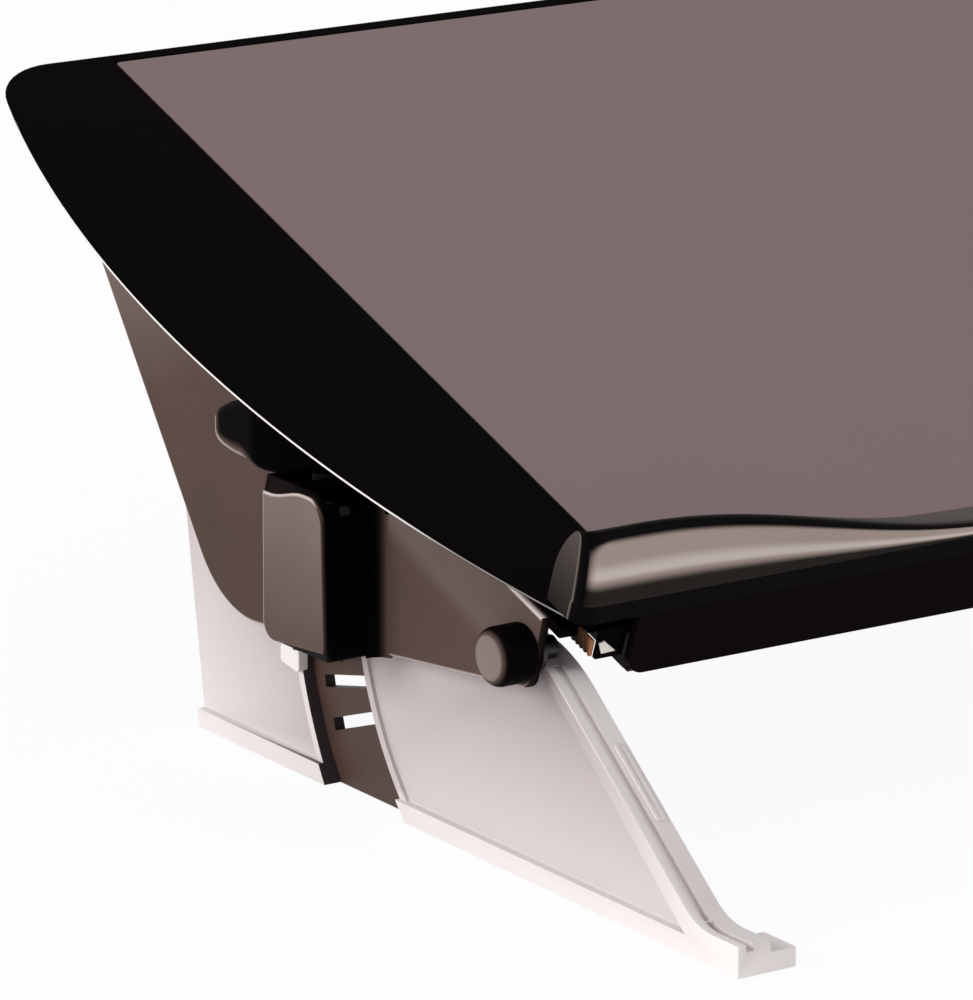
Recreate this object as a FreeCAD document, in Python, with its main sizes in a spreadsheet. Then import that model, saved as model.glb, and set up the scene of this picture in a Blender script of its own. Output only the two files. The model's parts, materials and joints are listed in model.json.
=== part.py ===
import FreeCAD, Part
import math
import operator
import os
import Sketcher

# Sliding, tilting document platform: two frosted legs carry a tilt frame on pivot pins, and the
# platform glides on two rails of that frame. A release lever on each side drops a steel catch
# into one of three slots of its leg.
#
# Legs are drawn in the desk frame: X right, Y back from the toe, Z up from the desk.
# Frame and platform are drawn flat about the pivot axis: X right, Y up the slope, Z off the deck,
# and are turned by the tilt. Left pieces are drawn, right pieces are their mirror images.

doc = FreeCAD.newDocument("document_platform")

SIZES = [
    # whole object
    ("tilt", 19.5, "slope of the platform as it stands, degrees"),
    ("pivot_back", 85.6, "pivot axis behind the toe of the legs"),
    ("pivot_height", 61.3, "pivot axis above the desk"),
    ("fit_gap", 0.3, "clearance between parts that move past each other"),
    ("run_gap", 0.05, "radial clearance of a pin in its bore"),
    # legs
    ("leg_outer", 241.0, "outer face of the leg's flange and base rim, from the middle"),
    ("leg_width", 9.5, "width of flange and rim across the leg"),
    ("panel_inset", 2.5, "panel behind the outer face of the rim"),
    ("panel_wall", 2.5, "thickness of the leg's panel"),
    ("leg_lift", 0.5, "leg above the desk, on its rubber pads"),
    ("rim_height", 5.0, "height of the base rim"),
    ("leg_depth", 246.0, "toe to rear end of the base rim"),
    ("leg_top", 68.0, "upper edge of the leg above the desk"),
    ("rear_lean", 10.5, "how far the rear edge leans back over the leg's height"),
    ("toe_height", 8.5, "height of the toe"),
    ("toe_length", 17.0, "flat top of the toe"),
    ("toe_width", 17.0, "width of the toe's foot across the leg"),
    ("toe_foot", 13.0, "length of the toe's foot"),
    ("flange_depth", 5.5, "depth of the front flange, measured level"),
    ("groove_depth", 1.8, "depth of the groove along the front flange, measured level"),
    ("groove_width", 2.2, "width of that groove"),
    ("bead_width", 2.4, "bead outboard of the groove"),
    ("boss_radius", 5.5, "boss of the leg around the pivot"),
    ("shoulder_up", 0.5, "corner between the leg's front and top edges, above the pivot axis"),
    ("shoulder_round", 45.0, "radius at that corner"),
    ("top_rim", 3.0, "depth of the rim along the leg's top edge, measured upright"),
    ("leg_round", 6.0, "radius at the rear top corner of the leg"),
    ("toe_round", 18.0, "radius where the toe runs into the front flange"),
    ("pad_length", 32.0, "length of a rubber foot pad"),
    ("pad_width", 6.5, "width of a rubber foot pad"),
    ("pad_round", 2.6, "corner radius of a rubber foot pad"),
    ("pad_thick", 2.0, "thickness of a rubber foot pad"),
    ("pad_margin", 4.0, "foot pad in from the end of its rim"),
    # slot plates
    ("window_in", 85.0, "inner radius of the leg's window, about the pivot"),
    ("window_depth", 30.0, "inner to outer radius of the leg's window"),
    ("window_top", 50.0, "top of the window above the desk"),
    ("window_bead", 2.4, "width of the bead along the window"),
    ("bead_lift", 1.0, "window bead proud of the panel"),
    ("plate_lap", 4.5, "slot plate behind the panel, beyond the window"),
    ("plate_thick", 3.0, "thickness of the slot plate"),
    ("slot_length", 27.0, "length of a catch slot"),
    ("slot_height", 3.3, "height of a catch slot"),
    ("slot_inset", 12.0, "middle of the slots beyond the window's inner radius"),
    ("slot_first", 13.3, "first slot below the level through the pivot, degrees"),
    ("slot_step", 6.0, "turn of the platform from slot to slot, degrees"),
    ("slot_slant", 6.5, "slots are this much nearer to level than their radius, degrees"),
    # side covers
    ("cover_clear", 4.0, "outer face of the side cover beyond the leg's"),
    ("cover_wall", 2.5, "wall of the side cover"),
    ("cover_gap", 0.5, "side cover below the underside of the deck"),
    ("cover_front", 7.0, "front end of the side cover ahead of the pivot"),
    ("cover_margin", 21.8, "rear top corner of the side cover ahead of the deck's rear edge"),
    ("cover_low_back", 124.6, "lowest corner of the side cover behind the pivot"),
    ("cover_low", 70.4, "lowest corner of the side cover below the pivot"),
    ("cover_nose", 7.7, "front lower corner of the side cover below the pivot"),
    ("cover_round", 31.0, "radius at the lowest corner"),
    ("nose_round", 6.0, "radius at the front corners"),
    ("shelf_thick", 2.8, "thickness of the cover's inward shelf"),
    ("shelf_lap", 1.5, "shelf over the rail's channel"),
    # rails
    ("rail_clear", 2.5, "outer edge of the rail's mounting flange inside the leg"),
    ("rail_flange", 8.0, "width of the rail's mounting flange"),
    ("channel_width", 16.0, "width of the rail's channel"),
    ("rail_height", 12.6, "height of the rail"),
    ("rail_wall", 2.0, "wall of the rail"),
    ("rail_slot", 6.0, "slot along the top of the rail"),
    ("rail_margin", 13.8, "rear end of the rail ahead of the deck's rear edge"),
    ("cap_thick", 2.0, "plate of a rail end cap"),
    ("cap_clear", 0.9, "front rail caps behind the apron"),
    ("cap_plug", 7.0, "plug of a rail end cap"),
    ("cap_rib", 1.0, "width and depth of the grooves across end caps and stops"),
    ("stop_inset", 5.0, "ribbed stop under the cover's shelf, inside the cover's wall"),
    ("stop_width", 6.0, "width of that stop"),
    ("stop_height", 6.8, "height of that stop"),
    ("stop_length", 3.5, "length of that stop along the slope"),
    # cross tubes
    ("tube_radius", 6.0, "radius of the cross tubes"),
    ("tube_wall", 1.5, "wall of the cross tubes"),
    ("tube_front", 24.0, "front cross tube behind the pivot"),
    ("tube_margin", 26.0, "rear cross tube ahead of the rear end of the rails"),
    ("tube_rise", 2.0, "cross tubes above the pivot axis"),
    # pivots
    ("pin_radius", 3.0, "radius of the pivot pin"),
    ("pin_end", 1.0, "pivot pin's thread into the knob"),
    ("washer_radius", 5.5, "radius of the pivot washers"),
    ("knob_radius", 7.6, "radius of the pivot knob"),
    ("knob_length", 10.5, "length of the pivot knob"),
    ("knob_round", 3.0, "edge radius of the pivot knob"),
    # release levers
    ("blade_behind", 15.04, "middle of the catch's blade behind the lever pin"),
    ("lever_drop", 5.6, "lever pin below the pivot, off the slope"),
    ("lever_lean", 19.5, "turn of the lever against the slope, degrees"),
    ("lever_reach", 17.0, "outer face of the lever proud of the side cover"),
    ("lever_clear", 3.0, "inner edge of the lever's walls clear of the side cover"),
    ("lever_ahead", 15.5, "front face of the lever ahead of its pin"),
    ("lever_behind", 14.3, "rear face of the lever behind its pin"),
    ("lever_above", 4.5, "top of the lever above its pin"),
    ("lever_below", 38.8, "bottom of the lever below its pin"),
    ("lever_wall", 2.2, "wall of the lever"),
    ("lever_round_top", 5.0, "top front corner of the lever"),
    ("lever_round_rear", 4.0, "lower rear corner of the lever"),
    ("lever_round_front", 1.5, "lower front corner of the lever"),
    ("lever_pin", 1.5, "radius of the lever pin"),
    ("pin_inset", 1.1, "end of the lever pin behind the lever's front face"),
    ("lug_radius", 3.9, "radius of the cover's lug around the lever pin"),
    ("lug_half", 5.0, "half length of that lug"),
    ("spring_radius", 2.6, "middle radius of the lever spring"),
    ("spring_wire", 0.7, "wire of the lever spring"),
    ("spring_turns", 4.5, "turns of the lever spring"),
    ("spring_pitch", 0.8, "pitch of the lever spring"),
    ("spring_leg", 6.2, "straight legs of the lever spring"),
    # catches
    ("catch_thick", 1.8, "thickness of the catch's blade"),
    ("catch_length", 20.0, "length of the catch's blade"),
    ("catch_rest_drop", 0.5, "blade below the middle of its slot while the lever is free"),
    ("strap_thick", 1.5, "thickness of the catch's strap"),
    ("strap_front", 2.5, "front edge of the strap behind the lever pin"),
    ("strap_width", 10.5, "width of the strap"),
    ("strap_top", 14.0, "top of the strap below the lever pin"),
    # fairing above and ahead of the lever
    ("fairing_reach", 21.0, "outermost point of the fairing proud of the side cover"),
    ("fairing_nose", 32.0, "nose of the fairing behind the lever pin"),
    ("fairing_gap", 1.5, "gap between lever and fairing"),
    ("nose_back_low", 26.0, "underside of the nose starts to rise behind the lever pin"),
    ("nose_height", 6.6, "height of the nose's tip above the fairing's underside"),
    ("nose_top", 11.0, "height of the nose's top above the fairing's underside"),
    ("fairing_end", 16.5, "upper rear end of the fairing behind the lever pin"),
    ("fairing_front_wall", 3.6, "fairing ahead of the lever"),
    ("fairing_front_lift", 5.0, "that part of the fairing proud of the cover"),
    # deck
    ("deck_top", 16.6, "top of the deck above the pivot axis"),
    ("deck_thick", 3.5, "thickness of the deck"),
    ("deck_rear", 265.8, "rear edge of the deck behind the pivot"),
    ("deck_half_front", 241.0, "half width of the deck at its front edge"),
    ("deck_half_widest", 273.0, "half width of the deck at its widest"),
    ("deck_widest_back", 131.0, "widest place behind the pivot"),
    ("deck_half_rear", 251.3, "half width of the deck at its rear edge, before its rounding"),
    ("corner_round", 22.0, "radius of the deck's rear corners"),
    ("rib_depth", 4.6, "depth of the ribs under the deck"),
    ("rib_wall", 2.4, "thickness of those ribs"),
    ("rib_spacing", 64.0, "spacing of those ribs"),
    ("rib_clear", 9.0, "ends of the cross ribs inside the rails"),
    ("panel_half", 215.7, "half width of the centre panel"),
    ("panel_thick", 1.5, "thickness of the centre panel"),
    ("panel_margin", 4.0, "deck visible behind the centre panel"),
    ("panel_gap", 0.4, "centre panel behind the front lip"),
    # front lip and apron
    ("lip_half", 243.0, "half width of the front lip"),
    ("lip_rear", 2.0, "rear face of the lip ahead of the pivot"),
    ("lip_front", 16.0, "front face of the lip ahead of the pivot"),
    ("lip_crest_end", 26.0, "crest of the lip above the deck at the ends"),
    ("lip_crest_middle", 7.2, "crest of the lip above the deck in the middle"),
    ("lip_back_end", 11.0, "rear edge of the lip above the deck at the ends"),
    ("lip_back_middle", 4.4, "rear edge of the lip above the deck in the middle"),
    ("lip_lean_end", 4.2, "crest behind the front face at the ends"),
    ("lip_lean_middle", 2.8, "crest behind the front face in the middle"),
    ("lip_seam", 5.6, "seam under the front face above the deck"),
    ("lip_step", 0.6, "band below the seam set back by this"),
    ("lip_swell", 3.2, "how far the hollow behind the crest is drawn back at the ends"),
    ("lip_end_run", 16.0, "where the lip starts to fall, in from its end"),
    ("lip_wave_end", 110.0, "where the lip has fallen, from the middle"),
    ("lip_end_round", 3.0, "rounding of the lip's ends"),
    ("apron_inset", 19.0, "end of the apron in from the lip's end"),
    ("apron_low", 1.0, "lower edge of the apron below the pivot axis"),
    ("apron_wall", 2.5, "thickness of the apron"),
    ("apron_round", 5.0, "lower corners of the apron"),
    ("apron_flange", 14.0, "flange of the apron under the deck"),
    ("apron_gap", 0.4, "front edge of the deck behind the apron"),
    # runners
    ("runner_length", 24.0, "length of a runner"),
    ("runner_margin", 8.0, "rear end of the rear runner ahead of the rear end of the rails"),
    ("runner_spacing", 100.0, "rear runner to front runner"),
    # screws
    ("screw_shank", 1.4, "radius of a screw's shank"),
    ("screw_head", 2.9, "radius of a screw's head"),
    ("head_thick", 1.3, "thickness of a screw's head"),
]

sheet = doc.addObject("Spreadsheet::Sheet", "Sizes")
for row, (alias, number, note) in enumerate(SIZES, start=1):
    sheet.set(f"A{row}", note)
    sheet.set(f"B{row}", str(number))
    sheet.setAlias(f"B{row}", alias)
doc.recompute()

SIGNS = {"+": operator.add, "-": operator.sub, "*": operator.mul, "/": operator.truediv}


class Size:
    """A number together with the expression over the sheet that gives it."""

    def __init__(self, number, text):
        self.number = number
        self.text = text

    def __add__(self, other):
        return combined(self, "+", other)

    def __radd__(self, other):
        return combined(other, "+", self)

    def __sub__(self, other):
        return combined(self, "-", other)

    def __rsub__(self, other):
        return combined(other, "-", self)

    def __mul__(self, other):
        return combined(self, "*", other)

    def __rmul__(self, other):
        return combined(other, "*", self)

    def __truediv__(self, other):
        return combined(self, "/", other)

    def __neg__(self):
        return combined(0, "-", self)


def as_size(value):
    return value if isinstance(value, Size) else Size(float(value), f"({float(value)})")


def combined(first, sign, second):
    first, second = as_size(first), as_size(second)
    return Size(SIGNS[sign](first.number, second.number), f"({first.text} {sign} {second.text})")


def cosine(angle):
    return Size(math.cos(math.radians(angle.number)), f"cos({angle.text} * 1 deg)")


def sine(angle):
    return Size(math.sin(math.radians(angle.number)), f"sin({angle.text} * 1 deg)")


class Sheet:
    """The cells of the sheet as sizes, by their aliases."""

    def __getattr__(self, alias):
        return Size(float(sheet.get(alias)), f"Sizes.{alias}")


s = Sheet()


def bind(thing, name, value):
    """Give a property its number and the expression behind it."""
    thing.setExpression(name, as_size(value).text)


# ---------------------------------------------------------------- places that follow from the sizes

# across, from the middle
cover_outer = s.leg_outer + s.cover_clear
rail_outer = s.leg_outer - s.leg_width - s.rail_clear
channel_outer = rail_outer - s.rail_flange
cross_rib_half = channel_outer - s.channel_width - s.rib_clear
lever_outer = cover_outer + s.lever_reach
lever_inner = cover_outer + s.lever_clear
lever_axis = (lever_outer + lever_inner) / 2
fairing_outer = cover_outer + s.fairing_reach
# along the slope, ahead of the pivot or behind it
apron_front = s.lip_front - s.lip_step
deck_front = apron_front - s.apron_wall - s.apron_gap
rail_front = apron_front - s.apron_wall - s.cap_clear - s.cap_thick
panel_front = s.lip_rear - s.panel_gap
rail_rear = s.deck_rear - s.rail_margin
cover_rear = s.deck_rear - s.cover_margin
tube_rear = rail_rear - s.tube_margin
runner_rear = rail_rear - s.runner_margin
# off the slope, above the pivot
deck_low = s.deck_top - s.deck_thick
cover_top = deck_low - s.cover_gap
# about the pivot
window_out = s.window_in + s.window_depth
slot_middle = s.window_in + s.slot_inset
# the lever pin stands ahead of the first slot, so that its catch hangs straight into it
lever_back = (slot_middle * cosine(s.slot_first) - s.blade_behind
              - s.lever_drop * sine(s.tilt)) / cosine(s.tilt)

# ---------------------------------------------------------------- frames

rear_bottom = deck_low - s.rib_depth
rear_reach = s.pivot_back + s.deck_rear * cosine(s.tilt) - rear_bottom * sine(s.tilt)
toe_to_middle = rear_reach / 2


def place(thing, back, up, turn):
    """Put a sub-part's own origin at a place of the row frame, turned about X."""
    thing.Placement = FreeCAD.Placement(
        FreeCAD.Vector(0, as_size(back).number, as_size(up).number),
        FreeCAD.Rotation(FreeCAD.Vector(1, 0, 0), as_size(turn).number))
    bind(thing, "Placement.Base.y", back)
    bind(thing, "Placement.Base.z", up)
    bind(thing, "Placement.Rotation.Angle", turn)


def on_desk(thing):
    place(thing, -toe_to_middle, 0, 0)


def on_slope(thing):
    place(thing, s.pivot_back - toe_to_middle, s.pivot_height, s.tilt)


lever_y = s.pivot_back + lever_back * cosine(s.tilt) + s.lever_drop * sine(s.tilt)
lever_z = s.pivot_height + lever_back * sine(s.tilt) - s.lever_drop * cosine(s.tilt)
lever_turn = s.tilt - s.lever_lean


def on_lever(thing):
    place(thing, lever_y - toe_to_middle, lever_z, lever_turn)


# ---------------------------------------------------------------- sketches and features

def new_body(name):
    body = doc.addObject("PartDesign::Body", name)
    body.Label = name
    return body


def new_sketch(body, plane, offset, at=(0, 0), turn=0):
    """A sketch on an origin plane, moved along its normal by offset and in the plane by at."""
    sketch = body.newObject("Sketcher::SketchObject", "Sketch")
    origin_plane = [item for item in body.Origin.OriginFeatures if item.Role == plane][0]
    sketch.AttachmentSupport = [(origin_plane, "")]
    sketch.MapMode = "FlatFace"
    offset, turn = as_size(offset), as_size(turn)
    across, along = as_size(at[0]), as_size(at[1])
    sketch.AttachmentOffset = FreeCAD.Placement(
        FreeCAD.Vector(across.number, along.number, offset.number),
        FreeCAD.Rotation(FreeCAD.Vector(0, 0, 1), turn.number))
    bind(sketch, "AttachmentOffset.Base.x", across)
    bind(sketch, "AttachmentOffset.Base.y", along)
    bind(sketch, "AttachmentOffset.Base.z", offset)
    bind(sketch, "AttachmentOffset.Rotation.Angle", turn)
    return sketch


def fix_point(sketch, geometry, end, point):
    """Hold an end of a sketch line or arc at a place given by two sizes."""
    for kind, value in zip(("DistanceX", "DistanceY"), point):
        value = as_size(value)
        index = sketch.addConstraint(Sketcher.Constraint(kind, -1, 1, geometry, end, value.number))
        sketch.setExpression(f"Constraints[{index}]", value.text)


def vector(point):
    return FreeCAD.Vector(as_size(point[0]).number, as_size(point[1]).number, 0)


def draw_outline(sketch, points):
    """A closed outline of straight lines through the points."""
    count = len(points)
    first = sketch.GeometryCount
    for index, point in enumerate(points):
        sketch.addGeometry(Part.LineSegment(vector(point), vector(points[(index + 1) % count])))
    for index in range(count):
        following = first + (index + 1) % count
        sketch.addConstraint(Sketcher.Constraint("Coincident", first + index, 2, following, 1))
    for index, point in enumerate(points):
        fix_point(sketch, first + index, 1, point)


def draw_circle(sketch, middle, radius):
    radius = as_size(radius)
    circle = Part.Circle(vector(middle), FreeCAD.Vector(0, 0, 1), radius.number)
    geometry = sketch.addGeometry(circle)
    fix_point(sketch, geometry, 3, middle)
    index = sketch.addConstraint(Sketcher.Constraint("Radius", geometry, radius.number))
    sketch.setExpression(f"Constraints[{index}]", radius.text)


def draw_sector(sketch, middle, inner, outer, low, high):
    """The stretch of a ring about middle, behind it, between two level lines."""
    corners = []
    arcs = []
    for radius in (as_size(inner), as_size(outer)):
        ends = []
        for level in (as_size(low), as_size(high)):
            rise = level.number - as_size(middle[1]).number
            ends.append(math.atan2(rise, math.sqrt(radius.number ** 2 - rise ** 2)))
        circle = Part.Circle(vector(middle), FreeCAD.Vector(0, 0, 1), radius.number)
        arc = sketch.addGeometry(Part.ArcOfCircle(circle, ends[0], ends[1]))
        fix_point(sketch, arc, 3, middle)
        index = sketch.addConstraint(Sketcher.Constraint("Radius", arc, radius.number))
        sketch.setExpression(f"Constraints[{index}]", radius.text)
        for end, level in ((1, as_size(low)), (2, as_size(high))):
            index = sketch.addConstraint(
                Sketcher.Constraint("DistanceY", -1, 1, arc, end, level.number))
            sketch.setExpression(f"Constraints[{index}]", level.text)
        arcs.append(arc)
        corners.append([as_size(middle[0]).number + radius.number * math.cos(end) for end in ends])
    for end, level in ((0, as_size(low)), (1, as_size(high))):
        line = sketch.addGeometry(Part.LineSegment(
            FreeCAD.Vector(corners[0][end], level.number, 0),
            FreeCAD.Vector(corners[1][end], level.number, 0)))
        sketch.addConstraint(Sketcher.Constraint("Coincident", line, 1, arcs[0], end + 1))
        sketch.addConstraint(Sketcher.Constraint("Coincident", line, 2, arcs[1], end + 1))


def rectangle(left, right, low, high):
    return [(left, low), (right, low), (right, high), (left, high)]


def finish_feature(body, feature, sketch, length):
    feature.Profile = sketch
    bind(feature, "Length", length)
    feature.Length = as_size(length).number
    body.Tip = feature
    doc.recompute()
    return feature


def add(body, plane, low, high, draw, at=(0, 0), turn=0):
    """Pad what draw puts in a sketch, from low to high along the plane's axis."""
    offset = -as_size(high) if plane == "XZ_Plane" else low
    sketch = new_sketch(body, plane, offset, at, turn)
    draw(sketch)
    return finish_feature(body, body.newObject("PartDesign::Pad", "Pad"), sketch,
                          as_size(high) - low)


def cut(body, plane, low, high, draw, at=(0, 0), turn=0):
    """Pocket what draw puts in a sketch, from low to high along the plane's axis."""
    offset = -as_size(low) if plane == "XZ_Plane" else high
    sketch = new_sketch(body, plane, offset, at, turn)
    draw(sketch)
    before = body.Shape.Volume
    pocket = finish_feature(body, body.newObject("PartDesign::Pocket", "Pocket"), sketch,
                            as_size(high) - low)
    if not body.Shape.Volume < before - 0.01:
        raise RuntimeError(f"a pocket of {body.Label} cuts nothing")
    return pocket


def outline(points):
    return lambda sketch: draw_outline(sketch, points)


def circles(middles, radius):
    return lambda sketch: [draw_circle(sketch, middle, radius) for middle in middles]


def sector(middle, inner, outer, low, high):
    return lambda sketch: draw_sector(sketch, middle, inner, outer, low, high)


AXES = {"YZ_Plane": (0, 1, 2), "XZ_Plane": (1, 0, 2), "XY_Plane": (2, 0, 1)}


def round_edges(body, plane, corners, radius, at=(0, 0), turn=0):
    """Round the edges that run along the plane's axis through the given corners."""
    axis, across, along = AXES[plane]
    angle = math.radians(as_size(turn).number)
    places = []
    for corner in corners:
        x, y = as_size(corner[0]).number, as_size(corner[1]).number
        places.append((as_size(at[0]).number + x * math.cos(angle) - y * math.sin(angle),
                       as_size(at[1]).number + x * math.sin(angle) + y * math.cos(angle)))
    to_body = body.Placement.inverse()
    names = []
    for index, edge in enumerate(body.Shape.Edges, start=1):
        if len(edge.Vertexes) != 2 or not isinstance(edge.Curve, Part.Line):
            continue
        start, end = (to_body.multVec(vertex.Point) for vertex in edge.Vertexes)
        if abs(start[across] - end[across]) > 0.01 or abs(start[along] - end[along]) > 0.01:
            continue
        if any(math.hypot(start[across] - x, start[along] - y) < 0.05 for x, y in places):
            names.append(f"Edge{index}")
    base = body.Tip
    fillet = body.newObject("PartDesign::Fillet", "Fillet")
    fillet.Base = (base, names)
    fillet.Radius = as_size(radius).number
    bind(fillet, "Radius", radius)
    body.Tip = fillet
    doc.recompute()
    return fillet


def new_cylinder(name, radius, low, high, back=0, up=0):
    """A cylinder along X from low to high."""
    cylinder = doc.addObject("Part::Cylinder", name)
    bind(cylinder, "Radius", radius)
    bind(cylinder, "Height", as_size(high) - low)
    cylinder.Placement = FreeCAD.Placement(
        FreeCAD.Vector(0, 0, 0), FreeCAD.Rotation(FreeCAD.Vector(0, 1, 0), 90))
    bind(cylinder, "Placement.Base.x", low)
    bind(cylinder, "Placement.Base.y", back)
    bind(cylinder, "Placement.Base.z", up)
    return cylinder


def mirrored(left, name):
    """The right-hand twin of a left-hand piece."""
    twin = doc.addObject("Part::Mirroring", name)
    twin.Source = left
    twin.Normal = FreeCAD.Vector(1, 0, 0)
    twin.Base = FreeCAD.Vector(0, 0, 0)
    twin.Label = name
    doc.recompute()
    return twin


def group_of_solids(name, shapes):
    """Identical small pieces as separate solids of one sub-part, in the row frame."""
    group = doc.addObject("Part::Feature", name)
    group.Label = name
    group.Shape = Part.makeCompound(shapes)
    return group


def number(value):
    return as_size(value).number


def both_sides(shape):
    return [shape, shape.mirror(FreeCAD.Vector(0, 0, 0), FreeCAD.Vector(1, 0, 0))]


def slope_placement():
    return FreeCAD.Placement(
        FreeCAD.Vector(0, number(s.pivot_back - toe_to_middle), number(s.pivot_height)),
        FreeCAD.Rotation(FreeCAD.Vector(1, 0, 0), number(s.tilt)))


def moved(shape, placement):
    copy = shape.copy()
    copy.Placement = placement.multiply(copy.Placement)
    return copy


def screw(place_at, direction, length):
    """A pan-head screw: the head's underside is at place_at, the shank runs along direction."""
    place_at, direction = FreeCAD.Vector(*map(number, place_at)), FreeCAD.Vector(*direction)
    head = Part.makeCylinder(number(s.screw_head), number(s.head_thick), place_at, -direction)
    shank = Part.makeCylinder(number(s.screw_shank), number(length), place_at, direction)
    return head.fuse(shank).removeSplitter()


kept = []


def keep(*things):
    kept.extend(things)


# ---------------------------------------------------------------- legs

leg_inner = -(s.leg_outer - s.leg_width)
panel_out = -(s.leg_outer - s.panel_inset)
panel_in = panel_out + s.panel_wall
pivot_on_leg = (s.pivot_back, s.pivot_height)
rim_top = s.leg_lift + s.rim_height
leg_rear_top = s.leg_depth + s.rear_lean
shoulder_height = s.pivot_height + s.shoulder_up
# how much the front edge and the top edge rise for each millimetre back
front_rise = (shoulder_height - s.toe_height) / (s.pivot_back - s.toe_length)
top_rise = (s.leg_top - shoulder_height) / (leg_rear_top - s.pivot_back)


def inside_shoulder(depth, drop):
    """Where a line depth behind the front edge meets one drop below the top edge."""
    back = (front_rise * depth - drop) / (front_rise - top_rise)
    return s.pivot_back + back, shoulder_height - drop + top_rise * back


# the rim along the top ends where the rear corner starts to round
rim_end = leg_rear_top - s.leg_round * 2
rim_end_top = s.leg_top - top_rise * s.leg_round * 2
shoulder = (s.pivot_back, shoulder_height)

left_leg = new_body("left_leg")
add(left_leg, "YZ_Plane", panel_out, panel_in, outline([
    (0, s.leg_lift), (s.leg_depth, s.leg_lift), (leg_rear_top, s.leg_top), shoulder,
    (s.toe_length, s.toe_height), (0, s.toe_height)]))
round_edges(left_leg, "YZ_Plane", [(leg_rear_top, s.leg_top)], s.leg_round)
add(left_leg, "YZ_Plane", -s.leg_outer, leg_inner,
    outline(rectangle(0, s.leg_depth, s.leg_lift, rim_top)))
add(left_leg, "YZ_Plane", -s.leg_outer, leg_inner, outline([
    (0, s.leg_lift), (s.flange_depth + s.toe_length / 2, s.leg_lift),
    (s.toe_length + s.flange_depth, s.toe_height - s.panel_wall),
    inside_shoulder(s.flange_depth, s.top_rim), (rim_end, rim_end_top - s.top_rim),
    (rim_end, rim_end_top), shoulder, (s.toe_length, s.toe_height), (0, s.toe_height)]))
round_edges(left_leg, "YZ_Plane", [(s.toe_length, s.toe_height)], s.toe_round)
# the groove fades out along the top edge, behind the shoulder
groove_out = -s.leg_outer + s.bead_width
groove_drop = s.groove_depth / 2
groove_end = s.pivot_back + s.shoulder_round / 2
groove_corner = inside_shoulder(s.groove_depth, groove_drop)
groove_end_top = shoulder_height + top_rise * (s.shoulder_round / 2)
cut(left_leg, "YZ_Plane", groove_out, groove_out + s.groove_width, outline([
    (-1, s.toe_height - s.groove_depth), (-1, s.toe_height + 1),
    (s.toe_length, s.toe_height + 1), (s.pivot_back, shoulder_height + 1),
    (groove_end, groove_end_top + 1), (groove_end, groove_end_top - groove_drop),
    groove_corner, (s.toe_length + s.groove_depth, s.toe_height),
    (s.toe_length, s.toe_height - s.groove_depth)]))
round_edges(left_leg, "YZ_Plane", [shoulder], s.shoulder_round)
round_edges(left_leg, "YZ_Plane", [groove_corner], s.shoulder_round - groove_drop)
add(left_leg, "YZ_Plane", -s.leg_outer, panel_in, circles([pivot_on_leg], s.boss_radius))
add(left_leg, "XY_Plane", s.leg_lift, rim_top,
    outline(rectangle(-s.leg_outer, -s.leg_outer + s.toe_width, 0, s.toe_foot)))
for inner, outer in ((s.window_in - s.window_bead, s.window_in),
                     (window_out, window_out + s.window_bead)):
    add(left_leg, "YZ_Plane", panel_out - s.bead_lift, panel_in,
        sector(pivot_on_leg, inner, outer, s.leg_lift, s.window_top - s.window_bead))
cut(left_leg, "YZ_Plane", -s.leg_outer - 1, leg_inner + 1,
    sector(pivot_on_leg, s.window_in, window_out, -1, s.window_top))
pad_middle = -s.leg_outer + s.leg_width / 2
pad_starts = [
    s.pad_margin,
    s.leg_depth - s.pad_margin - s.pad_length,
    s.pivot_back + s.window_in / 2 - s.pad_length / 2,
]
pad_top = s.pad_thick
for start in pad_starts:
    cut(left_leg, "XY_Plane", 0, pad_top, outline(rectangle(
        pad_middle - s.pad_width / 2 - s.run_gap, pad_middle + s.pad_width / 2 + s.run_gap,
        start - s.run_gap, start + s.pad_length + s.run_gap)))
cut(left_leg, "YZ_Plane", -s.leg_outer - 1, panel_in,
    circles([pivot_on_leg], s.pin_radius + s.run_gap))
on_desk(left_leg)
keep(left_leg, mirrored(left_leg, "right_leg"))

desk_shift = FreeCAD.Placement(FreeCAD.Vector(0, -number(toe_to_middle), 0), FreeCAD.Rotation())
pads = []
for start in pad_starts:
    pad = Part.makeBox(number(s.pad_width), number(s.pad_length), number(s.pad_thick),
                       FreeCAD.Vector(number(pad_middle - s.pad_width / 2), number(start), 0))
    upright = [edge for edge in pad.Edges if abs(edge.BoundBox.ZLength - number(pad_top)) < 0.01]
    pads.extend(both_sides(moved(pad.makeFillet(number(s.pad_round), upright), desk_shift)))
keep(group_of_solids("foot_pads", pads))

# ---------------------------------------------------------------- slot plates

slot_angles = [s.slot_first + s.slot_step * index for index in range(3)]


def from_pivot(radius, angle):
    """A place behind the pivot, on a radius that falls by angle below the level."""
    return s.pivot_back + radius * cosine(angle), s.pivot_height - radius * sine(angle)


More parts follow.
